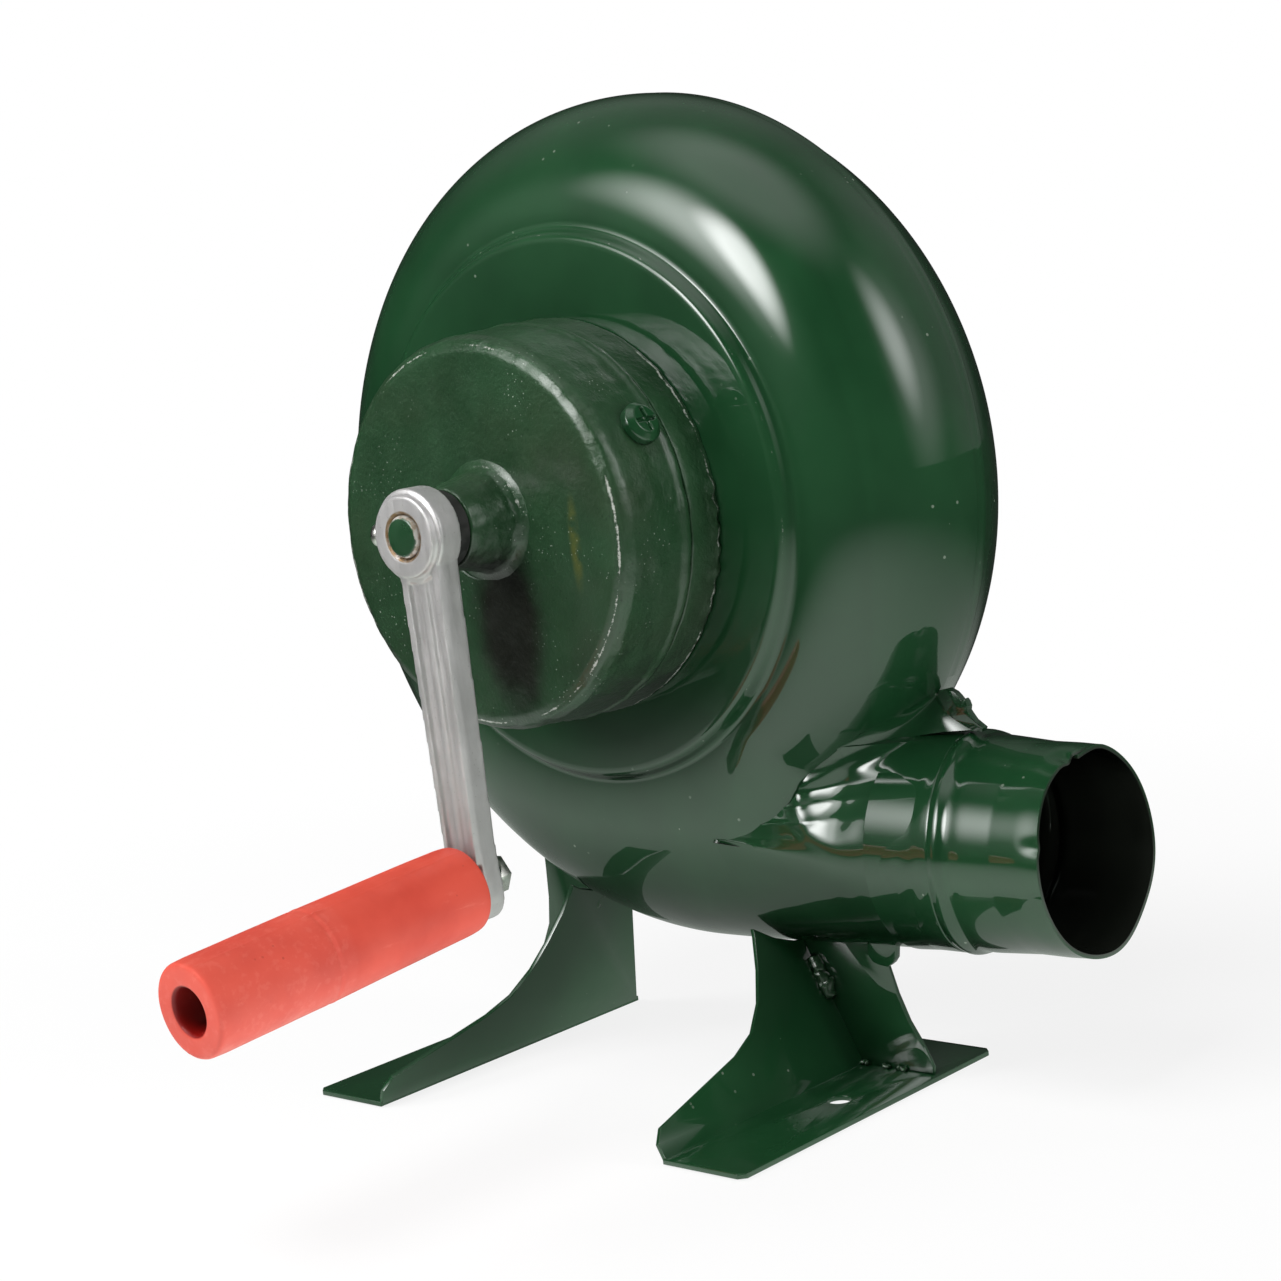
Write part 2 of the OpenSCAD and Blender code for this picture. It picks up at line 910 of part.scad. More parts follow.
// Rounded tail of the arm, running on past the grip axis
module arm_tail_end() {
    drop = arm_len + arm_tail - arm_end_half;
    translate([0, 0, arm_back])
        linear_extrude(arm_front - arm_back)
            polygon(concat([[arm_end_half - 0.6, -arm_len + 16], [-arm_end_half + 0.6, -arm_len + 16]],
                [for (a = [180:15:360])
                    [arm_end_half * cos(a), -drop + arm_end_half * sin(a)]]));
}

module crank_arm() {
    color([0.68, 0.68, 0.68])
        facing()
            difference() {
                union() {
                    at_arm() {
                        rod(hub_r, arm_back, collar_end - 2);
                        rod(hub_r - 1.6, collar_end - 2, collar_end);
                        arm_taper(8.2, 6.2, arm_front);
                        arm_taper(1.5, 1.1, arm_front + 0.8);
                        arm_rib(-1);
                        arm_rib(1);
                        arm_tail_end();
                    }
                    at_grip()
                        rod(arm_end_half - 0.6, pad_back, pad_front);
                }
                at_crank() {
                    rod(crank_shaft_r, arm_back - 1, collar_end + 1);
                    translate([0, 0, collar_end - bore_chamfer])
                        cylinder(r1 = crank_shaft_r, r2 = crank_shaft_r + 1.1 * bore_chamfer,
                            h = 1.1 * bore_chamfer);
                }
                at_grip()
                    rod(bolt_r, pad_back - 2, pad_front + 2);
                at_crank()
                    translate([0, 0, set_screw_depth])
                        rotate([0, -90, 0])
                            cylinder(r = set_screw_r, h = hub_r + 1);
            }
}

module set_screw() {
    color(zinc)
        facing()
            at_crank()
                translate([0, 0, set_screw_depth])
                    rotate([0, -90, 0])
                        difference() {
                            union() {
                                rod(set_screw_r, crank_shaft_r + 0.05, hub_r);
                                rod(set_screw_r + 1, hub_r, hub_r + 2.2);
                            }
                            translate([-0.4, -4, hub_r + 1.2])
                                cube([0.8, 8, 2]);
                        }
}

module hexagon(flats, h) {
    cylinder(r = flats / sqrt(3), h = h, $fn = 6);
}

module handle_bolt() {
    seat = pad_front + grip_len - counterbore_deep;
    color(zinc)
        facing()
            at_grip()
                union() {
                    rod(bolt_r, pad_back - 1, seat + nut_h + 2);
                    translate([0, 0, pad_back - washer_t - bolt_head_h + 0.2])
                        hexagon(bolt_flats, bolt_head_h);
                    rod(washer_r, pad_back - washer_t, pad_back);
                }
}

module handle_nut() {
    seat = pad_front + grip_len - counterbore_deep + 2 * face_gap;
    color(zinc)
        facing()
            at_grip()
                difference() {
                    translate([0, 0, seat])
                        hexagon(bolt_flats, nut_h);
                    rod(bolt_r, seat - 1, seat + nut_h + 1);
                }
}

module grip() {
    start = pad_front + face_gap;
    mid = start + grip_len * 0.57;
    end = start + grip_len;
    color([0.85, 0.29, 0.22])
        facing()
            at_grip()
                difference() {
                    rotate_extrude()
                        polygon([[0, start], [grip_r - 2, start], [grip_r - 0.9, start + 0.5],
                            [grip_r - 0.5, start + 1.6], [grip_r, mid - 0.4], [grip_r - 0.3, mid],
                            [grip_r, mid + 0.4], [grip_r, end - 6], [grip_r - 0.5, end - 2],
                            [grip_r - 1.4, end - 0.6], [grip_r - 2.6, end], [0, end]]);
                    rod(bolt_r + run_gap, start - 1, end);
                    rod(counterbore_r, end - counterbore_deep, end + 1);
                }
}

casing_front();
casing_back();
outlet_pipe();
leg_left();
leg_right();
gusset_left();
gusset_right();
gear_housing();
gear_cover();
cover_screws();
housing_screws();
fan_bearings();
crank_bush();
idler_post();
idler_clip();
crank_shaft();
crank_gear();
thrust_washer();
crank_arm();
set_screw();
handle_bolt();
handle_nut();
grip();
idler_gear();
idler_pinion();
fan_shaft();
fan_pinion();
shaft_spacer();
impeller_disc();
impeller_hub();
impeller_blades();
impeller_nut();
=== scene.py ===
"""Hand crank forge blower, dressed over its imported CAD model.

Lengths inside the functions are millimetres in the casing's own frame: x to the right, y up
from the ground, z forward from the seam of the casing. Meshes are written in metres.
"""
import math

import bmesh
import bpy
import numpy as np
from mathutils import Matrix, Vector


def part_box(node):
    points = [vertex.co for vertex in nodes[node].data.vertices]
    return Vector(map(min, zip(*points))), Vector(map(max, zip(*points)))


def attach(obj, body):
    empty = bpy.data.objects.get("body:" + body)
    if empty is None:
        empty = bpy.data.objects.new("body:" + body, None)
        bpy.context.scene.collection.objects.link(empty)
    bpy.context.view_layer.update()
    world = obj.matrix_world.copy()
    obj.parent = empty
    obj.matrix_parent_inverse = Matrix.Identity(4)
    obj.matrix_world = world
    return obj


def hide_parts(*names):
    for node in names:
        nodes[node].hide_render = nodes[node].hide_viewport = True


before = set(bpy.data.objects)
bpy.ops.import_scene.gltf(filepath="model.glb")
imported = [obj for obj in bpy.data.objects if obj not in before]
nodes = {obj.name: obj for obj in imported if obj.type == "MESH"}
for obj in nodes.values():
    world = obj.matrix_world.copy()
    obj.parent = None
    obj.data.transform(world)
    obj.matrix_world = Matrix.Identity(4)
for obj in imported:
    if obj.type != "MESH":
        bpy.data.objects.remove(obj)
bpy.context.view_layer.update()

# Sizes
CASE_X, SEAM_Y = -3.5, 36.0          # the casing's frame stands here in the part's frame
CASE_R, CASE_Z = 117.0, 178.5        # round part of the casing
SCROLL_R, SCROLL_X, SCROLL_Z = 132.8, 12.64, 169.02      # the arc that it grows into
GROW_AT = math.atan2(3, -4)          # where the two arcs meet
FRONT_DEPTH, BACK_DEPTH = 39.0, 35.0     # from the seam to the flat of each half
SHEET_T = 1.2                        # the casing's sheet
FAN_Z, DRUM_Z = 175.5, 173.4         # heights of the fan's axis and of the drum's middle
CRANK_X, CRANK_Z = 4.6, 178.0        # the crank's axis
FOOT_R = 83.2                        # foot of the plateau wall
PIPE_Z, PIPE_R, ROOT_R = 72.0, 30.0, 33.0
PIPE_START, TAPER_END = 90.0, 131.2  # root of the pipe, and where its straight end begins
NECK_RISE = 3.1                      # climb of the casing's underside on its way to the pipe
ARM_LEAN, ARM_LEN = math.radians(3.7), 99.5
GRIP_DROOP, GRIP_YAW = math.radians(4.9), math.radians(2.2)
GRIP_LEN, GRIP_R = 96.5, 13.4
PAD = 4.4                            # from the grip's root to the middle of the crank's pad
HANDLE_Z = 109.0                     # depth of the grip's axis where it meets the arm
PLATEAU_Z, COVER_Z = 43.2, 82.0      # front faces of the plateau and of the cover
MOUTH_SLANT = 3.3                    # degrees that the pipe's mouth is off square
BEND_X, LEG_T = 57.7, 1.5            # where a leg bends up from its foot, and its sheet
GUSSET_Z = SEAM_Y - 29.5             # depth of the gussets
RIGHT_LEAN, LEFT_LEAN = math.radians(27), math.radians(19)
CRANK_AT = ((CRANK_X + CASE_X) * 0.001, 0.0, CRANK_Z * 0.001)    # in the part's frame


# Placing things
def linked(name, data):
    """An object of the scene that holds the data."""
    holder = bpy.data.objects.new(name, data)
    bpy.context.collection.objects.link(holder)
    return holder


def stand(holder, place, *axes):
    """Puts an object at a place, with its own x, y and z along the given directions."""
    turn = np.column_stack(axes)
    holder.matrix_world = Matrix.Translation(place.tolist()) @ Matrix(turn.tolist()).to_4x4()


# Camera
def add_camera():
    """The photograph's view: 42.8 degrees to the right of straight ahead, 8.4 above level."""
    azimuth, elevation, roll = (math.radians(a) for a in (42.827, 8.397, -6.072))
    target = np.array([-1.491, 16.111, 131.865])
    distance, focal_px, picture = 815.508, 2675.443, 1281
    back = np.array([math.sin(azimuth) * math.cos(elevation),
                     -math.cos(azimuth) * math.cos(elevation), math.sin(elevation)])
    right = np.array([math.cos(azimuth), math.sin(azimuth), 0.0])
    up = np.cross(back, right)
    turned_right = math.cos(roll) * right + math.sin(roll) * up
    turned_up = math.cos(roll) * up - math.sin(roll) * right
    place = (target + back * distance) * 0.001
    camera = bpy.data.cameras.new("photo_camera")
    camera.sensor_width = 36.0
    camera.lens = focal_px / picture * 36.0
    camera.clip_end = 50.0
    holder = linked("photo_camera", camera)
    stand(holder, place, turned_right, turned_up, back)
    bpy.context.scene.camera = holder


add_camera()


# Surfaces
def to_part(points):
    """Casing frame in millimetres to the part's frame in metres."""
    return np.stack([points[..., 0] + CASE_X, SEAM_Y - points[..., 2], points[..., 1]], -1) * 0.001


def from_part(points):
    """The part's frame in metres to the casing frame in millimetres."""
    x, y, z = (points[..., k] * 1000 for k in range(3))
    return np.stack([x - CASE_X, z, SEAM_Y - y], -1)


def mark_points(mesh, name, values):
    """Writes one number per point, for a finish to read."""
    mesh.attributes.new(name, "FLOAT", "POINT").data.foreach_set(
        "value", np.asarray(values, np.float32))


def grid_faces(rows, columns, wrap_rows=False, wrap_columns=False):
    """Quads between neighbouring points of a grid, joined round where it wraps."""
    u = np.arange(rows if wrap_rows else rows - 1)[:, None]
    v = np.arange(columns if wrap_columns else columns - 1)[None]
    u1, v1 = (u + 1) % rows, (v + 1) % columns
    return np.stack([u * columns + v, u1 * columns + v, u1 * columns + v1, u * columns + v1],
                    -1).reshape(-1, 4)


def surface(name, patches, wall=0.0, outside=None, sharp=38.0, bevel=0.0, wear=None):
    """One mesh from grids of points: each patch is (points, wrap_rows, wrap_columns). A wall
    thickens it inwards, outside is a point that the faces look away from, and wear is a
    function that gives each point its share of rubbed paint."""
    points, faces, base = [], [], 0
    for patch in patches:
        grid, wrap_rows, wrap_columns = (tuple(patch) + (False, False))[:3]
        rows, columns = grid.shape[:2]
        points.append(grid.reshape(-1, 3))
        faces.append(grid_faces(rows, columns, wrap_rows, wrap_columns) + base)
        base += rows * columns
    points = np.concatenate(points)
    mesh = bpy.data.meshes.new(name)
    mesh.from_pydata(to_part(points), [], np.concatenate(faces).tolist())
    if wear is not None:
        mark_points(mesh, "wear", wear(points))
    close_up(mesh, outside)
    return finished(name, mesh, wall, sharp, bevel)


def close_up(mesh, outside=None):
    """Merges shared points, drops empty faces and turns the faces outwards."""
    work = bmesh.new()
    work.from_mesh(mesh)
    bmesh.ops.remove_doubles(work, verts=work.verts, dist=2e-6)
    bmesh.ops.dissolve_degenerate(work, edges=work.edges, dist=1e-7)
    bmesh.ops.recalc_face_normals(work, faces=work.faces)
    if outside is not None:
        middle = to_part(np.array(outside, float))
        facing = sum(f.calc_area() * f.normal.dot(f.calc_center_median() - type(f.normal)(middle))
                     for f in work.faces)
        if facing < 0:
            bmesh.ops.reverse_faces(work, faces=work.faces)
    work.to_mesh(mesh)
    work.free()


def applied(piece, name):
    """Turns the piece's modifiers into its mesh and names both."""
    piece.data = bpy.data.meshes.new_from_object(
        piece.evaluated_get(bpy.context.evaluated_depsgraph_get()))
    piece.modifiers.clear()
    piece.name = piece.data.name = name


def finished(name, mesh, wall=0.0, sharp=38.0, bevel=0.0):
    """Puts the mesh in an object, with its wall and worn edges applied, shaded smooth."""
    piece = linked(name, mesh)
    if wall:
        solid = piece.modifiers.new("wall", "SOLIDIFY")
        solid.thickness = wall * 0.001
        solid.offset = -1.0
    if bevel:
        edge = piece.modifiers.new("edge", "BEVEL")
        edge.width = bevel * 0.001
        edge.segments = 2
        edge.limit_method = "ANGLE"
        edge.angle_limit = math.radians(32)
    if piece.modifiers:
        applied(piece, name)
    if wall:
        # The inner side is marked, where the sheet's paint is darkened as painted shade.
        count = len(piece.data.vertices)
        mark_points(piece.data, "inside", np.arange(count) >= count // 2)
    piece.data.materials.clear()
    piece.data.shade_smooth()
    piece.data.set_sharp_from_angle(angle=math.radians(sharp))
    return piece


def softened(node, bevel, sharp=32.0):
    """A copy of a CAD node with its loose triangles merged and its edges rounded."""
    mesh = nodes[node].data.copy()
    work = bmesh.new()
    work.from_mesh(mesh)
    bmesh.ops.remove_doubles(work, verts=work.verts, dist=1e-6)
    bmesh.ops.dissolve_limit(work, angle_limit=math.radians(0.6), verts=work.verts,
                             edges=work.edges)
    work.to_mesh(mesh)
    work.free()
    return finished(node + "_soft", mesh, 0.0, sharp, bevel)


def cast_copy(node, voxel, rounds):
    """A copy of a CAD node with its edges run together as in a casting: the solid is filled
    with small cells, and its skin is evened out over a few rounds."""
    piece = softened(node, 0.0)
    remesh = piece.modifiers.new("cells", "REMESH")
    remesh.mode = "VOXEL"
    remesh.voxel_size = voxel * 0.001
    even = piece.modifiers.new("even", "SMOOTH")
    even.factor, even.iterations = 0.5, rounds
    applied(piece, node + "_cast")
    piece.data.shade_smooth()
    return piece


def smooth_step(a):
    a = np.clip(a, 0.0, 1.0)
    return a * a * (3.0 - 2.0 * a)


def hump(value, at, width):
    """Bell curve of unit height about a value."""
    return np.exp(-((value - at) / width) ** 2)


def waves(points, size, seed, octaves=3):
    """Smooth pseudo-random field of about unit height: sums of sines along random directions,
    each octave half the wavelength and half the height of the last."""
    draw = np.random.default_rng(seed)
    total = np.zeros(points.shape[:-1])
    for octave in range(octaves):
        for _ in range(7):
            way = draw.normal(size=3)
            way *= 2 * np.pi / (size * 0.5 ** octave) / np.linalg.norm(way)
            total += 0.5 ** octave * np.sin(points @ way + draw.uniform(0, 2 * np.pi)) / 3.0
    return total


def revolve(profile, centre, steps=192, rough=0.0, grain=9.0, seed=1):
    """A closed profile of (radius, z) turned about an axis along z. Cast pieces get a rough
    skin: each point moves out along its radius and depth by a wave field."""
    radius, depth = np.array(profile, float).T
    angle = np.linspace(0, 2 * np.pi, steps, endpoint=False)[:, None]
    points = np.stack([centre[0] + radius * np.cos(angle), centre[1] + radius * np.sin(angle),
                       depth + 0 * angle], -1)
    if rough:
        push = rough * waves(points, grain, seed)[..., None]
        away = points - [centre[0], centre[1], np.mean(depth)]
        away = away / np.maximum(np.linalg.norm(away, axis=-1, keepdims=True), 1e-6)
        points = points + push * away * (radius > 0.01)[None, :, None]
    return points, True, True


def rounded(profile, size, steps=4, closed=True):
    """Rounds each corner of a profile with an arc-like curve that starts size before it."""
    corners = np.array(profile, float)
    count, out = len(corners), []
    for i, corner in enumerate(corners):
        if not closed and i in (0, count - 1):
            out.append([corner])
            continue
        before, after = corners[i - 1] - corner, corners[(i + 1) % count] - corner
        cut = [min(size, np.linalg.norm(e) * 0.45) for e in (before, after)]
        start = corner + before / np.linalg.norm(before) * cut[0]
        end = corner + after / np.linalg.norm(after) * cut[1]
        t = np.linspace(0, 1, steps)[:, None]
        out.append((1 - t) ** 2 * start + 2 * t * (1 - t) * corner + t * t * end)
    return np.concatenate(out)


def divided(profile, step):
    """Adds points to a profile so that none of its sides is longer than step."""
    profile = np.array(profile, float)
    out = []
    for a, b in zip(profile, np.roll(profile, -1, 0)):
        parts = max(1, int(np.ceil(np.linalg.norm(b - a) / step)))
        out.append(a + (b - a) * np.linspace(0, 1, parts, endpoint=False)[:, None])
    return np.concatenate(out)


# Casing
# The crease between scroll and neck, from its tip in front to the crotch above the outlet:
# angles about the fan's axis, and how far in front of the seam it lies at each.
CREASE_AT = np.radians([-68.5, -63.8, -59.4, -55.5, -52.4, -47.0, -42.9, -40.4, -38.9])
CREASE_DEPTH = np.array([36.4, 35.6, 34.4, 31.8, 28.4, 26.8, 25.0, 18.0, 0.0])
TIP, CROTCH, LOW_END = np.radians([-68.5, -38.9, 291.5])     # the last is the tip, a turn on
TIP_RUN = 50.0                       # how far right the crease's tip lies
INNER, OUTER = 30, 22                # points across the bulge, inside and outside the crease
WEDGE_STEPS, ROUND_STEPS = 50, 420   # steps round the casing, at the crease and past it
CREASE_ROWS = 60                     # rows of the neck that start on the crease


def underside(run, inset):
    """Height of the casing's lowest line under the neck: from the scroll's lowest point it
    climbs as a power of the distance run towards the pipe's own underside."""
    far = np.clip((run - SCROLL_X) / (PIPE_START - SCROLL_X), 0.0, 1.0)
    return SCROLL_Z - SCROLL_R + inset + NECK_RISE * far ** 1.3


def outline(angle, inset):
    """Outer edge of the casing in the seam plane: a circle, then an arc of larger radius about
    a shifted centre down to the lowest point, then the underside of the neck."""
    drop, change = CASE_Z - 38.0, 0.34       # centre to underside, and the angle it blends over
    angle = np.asarray(angle, float)
    c, s = np.cos(angle), np.sin(angle)
    low = (angle > GROW_AT) & (angle <= 1.5 * np.pi)
    x = np.where(low, SCROLL_X + (SCROLL_R - inset) * c, (CASE_R - inset) * c)
    y = np.where(low, SCROLL_Z + (SCROLL_R - inset) * s, CASE_Z + (CASE_R - inset) * s)
    slope = np.where(angle > np.pi, angle - 2 * np.pi, angle)
    start_run = drop / np.tan(np.maximum(-slope, 0.3)) + TIP_RUN - drop / math.tan(-TIP)
    end_run = SCROLL_X + (slope + np.pi / 2) / (TIP + np.pi / 2) * (TIP_RUN - SCROLL_X)
    run = np.where(angle > np.pi, end_run, start_run)
    blend = np.where(angle > np.pi, 0.0, smooth_step((slope - TIP) / change))
    under = (angle > 1.5 * np.pi) | (angle < TIP + change)
    x = np.where(under, run * (1 - blend) + x * blend, x)
    y = np.where(under, underside(run, inset) * (1 - blend) + y * blend, y)
    return x, y


def bulge(angle, turn, depth, inset=0.0):
    """Point on the rounded bulge: from the plateau's foot, at turn 0, a quarter ellipse runs out
    to the outline at the seam, at turn 90 degrees."""
    x, y = outline(angle, inset)
    foot_x, foot_y = FOOT_R * np.cos(angle), FAN_Z + FOOT_R * np.sin(angle)
    return np.stack([foot_x + (x - foot_x) * np.sin(turn), foot_y + (y - foot_y) * np.sin(turn),
                     depth * np.cos(turn)], -1)


def crease_turn(angle):
    """How far round the bulge the crease lies, from its depth."""
    share = np.interp(angle, CREASE_AT, CREASE_DEPTH) / FRONT_DEPTH
    return np.arccos(np.clip(share, 0.0, 1.0))


def scroll_patches(depth, inset=0.0):
    """The bulge round the scroll, and its wedge that ends at the crease of the neck."""
    wedge = np.linspace(TIP, CROTCH, WEDGE_STEPS)
    ring = np.linspace(CROTCH, LOW_END, ROUND_STEPS)
    split = np.interp(ring, [CROTCH, LOW_END], [np.pi / 2, crease_turn(TIP)])
    near = split[:, None] * np.linspace(0, 1, INNER)
    far = split[:, None] + (np.pi / 2 - split[:, None]) * np.linspace(0, 1, OUTER)[1:]
    whole = bulge(ring[:, None], np.concatenate([near, far], 1), depth, inset)
    part = bulge(wedge[:, None], crease_turn(wedge)[:, None] * np.linspace(0, 1, INNER), depth,
                 inset)
    return [(whole,), (part,)]


def pipe_radius(x):
    """Outside radius of the pipe: an even taper, then straight."""
    return ROOT_R - (ROOT_R - PIPE_R) * np.clip((x - PIPE_START) / (TAPER_END - PIPE_START), 0, 1)


def bead_line(around):
    """How far out the pipe's bead lies: furthest at the front, less so below and on top."""
    return 106.0 + 5.0 * np.abs(np.cos(around - 0.1)) ** 1.3


def neck_patch(depth, inset=0.0, pressed=True):
    """The neck from the crease to the pipe's bead: cubic curves from the scroll's edge to a half
    ring. They leave the crease level, and the rows below its tip leave along the bulge's own
    flow. The press marks of the front half are added in depth."""
    wedge = np.linspace(CROTCH, TIP, CREASE_ROWS)
    below_tip = np.linspace(0, 1, 2 * OUTER)[1:]
    low_end = np.full(len(below_tip), LOW_END)
    low_turn = crease_turn(TIP) + (np.pi / 2 - crease_turn(TIP)) * below_tip
    low = bulge(low_end, low_turn, depth, inset)
    start = np.concatenate([bulge(wedge, crease_turn(wedge), depth, inset), low])

    tip_at, side = math.radians(-8.0), math.copysign(1.0, depth)
    around = np.concatenate([
        np.pi / 2 + (tip_at - np.pi / 2) * np.linspace(0, 1, CREASE_ROWS) ** 1.1,
        tip_at - (tip_at + np.pi / 2) * below_tip ** 0.95])
    end_x = bead_line(around)

    def ring(x, radius):
        return np.stack([x, PIPE_Z + radius * np.sin(around), side * radius * np.cos(around)], -1)

    end = ring(end_x, pipe_radius(end_x) + 0.3 - inset * 0.1)
    span = end - start
    row = np.arange(len(start))[:, None]
    lower, turned = smooth_step((row - 44) / 22.0), smooth_step((row - CREASE_ROWS) / 14.0)
    along = np.zeros_like(span)
    along[:, 0] = np.abs(span[:, 0])
    flow = low - bulge(low_end - 0.004, low_turn, depth, inset)
    flow = np.concatenate([np.repeat(flow[:1], CREASE_ROWS, 0), flow])
    flow = flow / flow[:, :1] * along[:, :1] * turned + along * (1 - turned)
    leave = span * [0.9, 0.8, 0.6] * (1 - lower) + flow * lower
    v = np.linspace(0, 1, 90)[None, :, None]
    points = ((2 * v ** 3 - 3 * v ** 2 + 1) * start[:, None]
              + (v ** 3 - 2 * v ** 2 + v) * leave[:, None]
              + (3 * v ** 2 - 2 * v ** 3) * end[:, None]
              + (v ** 3 - v ** 2) * along[:, None] * 0.9)
    if pressed:
        points[..., 2] += pressed_panel(points[..., 0], points[..., 1], points[..., 2])
    tucked = [ring(end_x + further, pipe_radius(end_x) + 0.3 - drop)[:, None]
              for further, drop in ((0.5, 0.05), (0.9, 0.3), (1.3, 0.9))]
    return [(np.concatenate([points, *tucked], 1),)]


def along_line(x, y, path, width, fade=(1.0, 1.0)):
    """Soft ridge of unit height along a bent line, fading from its first point to its last."""
    path = np.array(path, float)
    total = np.zeros_like(x)
    strength = np.linspace(fade[0], fade[1], len(path))
    for a, b, low, high in zip(path[:-1], path[1:], strength[:-1], strength[1:]):
        way = b - a
        t = np.clip(((x - a[0]) * way[0] + (y - a[1]) * way[1]) / (way @ way), 0, 1)
        far = (x - a[0] - t * way[0]) ** 2 + (y - a[1] - t * way[1]) ** 2
        total = np.maximum(total, (low + (high - low) * t) * np.exp(-far / width ** 2))
    return total


def pressed_panel(x, y, z):
    """Depth added by the press marks of the neck: a hooked knuckle, the shoulder line that runs
    from it to the crotch, and a shallow pan with its upper edge. Each is a ridge or a hollow of
    some height and width along a bent line, and fine dents lie over all."""
    knuckle = [(65.5, 92.0), (67.5, 85.5), (71.5, 80.0), (80.0, 76.0)]
    shoulder = [(66, 92), (73, 94.5), (84, 100.3), (91, 103.5)]
    pan = [(80, 88), (92, 88), (107, 88)]
    pan_edge = [(80, 96.0), (92, 96.2), (105, 94.8)]
    total = 0.09 * waves(np.stack([x, y, z], -1), 15.0, 33, 2) * smooth_step((x - 72) / 8.0)
    for height, path, width, fade in ((1.5, knuckle, 2.6, (1.0, 0.1)), (0.8, shoulder, 2.0, (1.0, 0.5)),
                                      (-2.3, pan, 8.0, (1.0, 0.1)), (0.3, pan_edge, 1.6, (0.4, 1.0))):
        total += height * along_line(x, y, path, width, fade)
    return smooth_step(z / 8.0) * smooth_step((109.5 - x) / 4.0) * total


def ring_patch(rings):
    """Rings of (radius, z) about the fan's axis, at the same angles as the bulge."""
    angle = np.concatenate([np.linspace(TIP, CROTCH, WEDGE_STEPS),
                            np.linspace(CROTCH, LOW_END, ROUND_STEPS)[1:]])
    radius, depth = np.array(rings, float).T
    a = angle[:, None]
    return [(np.stack([radius * np.cos(a), FAN_Z + radius * np.sin(a), depth + 0 * a], -1),)]


def lip_patch():
    """The front half's edge, lapped straight back over the rear half."""
    angle = np.linspace(CROTCH, LOW_END, ROUND_STEPS)
    first, last = math.radians(-31), math.radians(262)       # clear of the neck
    angle = angle[(angle > first) & (angle < last)]
    x, y = outline(angle, 0.0)
    depth = np.array([0.0, -0.8, -2.5, -4.4, -5.0])
    swell = np.array([0.0, -0.1, -0.03, -0.03, -0.25])
    a = angle[:, None]
    return [(np.stack([x[:, None] + swell * np.cos(a), y[:, None] + swell * np.sin(a),
                       depth + 0 * a], -1),)]


def plate(outline_points, low, high):
    """A flat sheet offcut: its outline at two depths, joined round and closed by fans."""
    edge = np.array(outline_points, float)
    middle = edge.mean(0)
    rings = [np.column_stack([np.broadcast_to(middle, edge.shape), np.full(len(edge), low)]),
             np.column_stack([edge, np.full(len(edge), low)]),
             np.column_stack([edge, np.full(len(edge), high)]),
             np.column_stack([np.broadcast_to(middle, edge.shape), np.full(len(edge), high)])]
    return np.stack(rings, 1), True, False


def edge_wear(points):
    """Bare metal along the plateau's rim, as a narrow band about its radius."""
    r = np.hypot(points[:, 0], points[:, 1] - FAN_Z)
    return 0.75 * hump(r, 80.6, 0.5) * (points[:, 2] > FRONT_DEPTH - 1)


def front_shell():
    """The front half of the casing: plateau, bulge, neck and lip in one sheet."""
    bore = 14.3
    plateau = [(r, PLATEAU_Z) for r in (bore, 30, 55, 70, 78.2)]
    plateau += [(79.4, 43.15), (80.2, 42.9), (80.9, 42.3), (81.5, 41.3), (82.0, 40.3), (82.5, 39.5),
                (FOOT_R, FRONT_DEPTH)]
    patches = (ring_patch(plateau) + scroll_patches(FRONT_DEPTH) + neck_patch(FRONT_DEPTH)
               + lip_patch())
    return surface("front_shell", patches, wall=SHEET_T, outside=(0, CASE_Z, 0), wear=edge_wear)


def rear_shell():
    """The rear half, inside the front half's lip, with the rolled edge of the air inlet."""
    inset = SHEET_T + 0.25
    flat = -BACK_DEPTH - inset
    inlet = [(36.0, -39.0), (36.0, -38.2), (36.2, -37.2), (36.9, -36.5)]
    inlet += [(r, flat) for r in (38.4, 45, 60, FOOT_R)]
    patches = ring_patch(inlet) + scroll_patches(flat, inset) + neck_patch(flat, inset, False)
    return surface("rear_shell", patches, wall=SHEET_T, outside=(0, CASE_Z, 0))


def seam_scraps():
    """The torn ear in the crotch above the outlet and the tab under the neck."""
    ear = [(96, 106), (97.0, 112.0), (99.8, 116.4), (102.8, 117.0), (105.0, 116.0), (106.3, 114.8),
           (107.2, 113.7), (108.1, 114.2), (108.8, 113.5), (109.3, 112.1), (109.0, 110.8),
           (110.0, 109.4), (111.2, 107.8), (112.6, 106.7), (114.0, 106.0), (113.4, 104.9),
           (104, 105.2)]
    tab = [(72.3, 45), (71.7, 40), (71.9, 37.4), (73.2, 35.7), (75.4, 35.0), (78.6, 34.7),
           (80.3, 35.9), (81.6, 37.6), (82.1, 41), (82.0, 45)]
    return surface("seam_scraps", [plate(ear, 0.5, 2.9), plate(tab, 9.0, 11.4)], bevel=0.4)


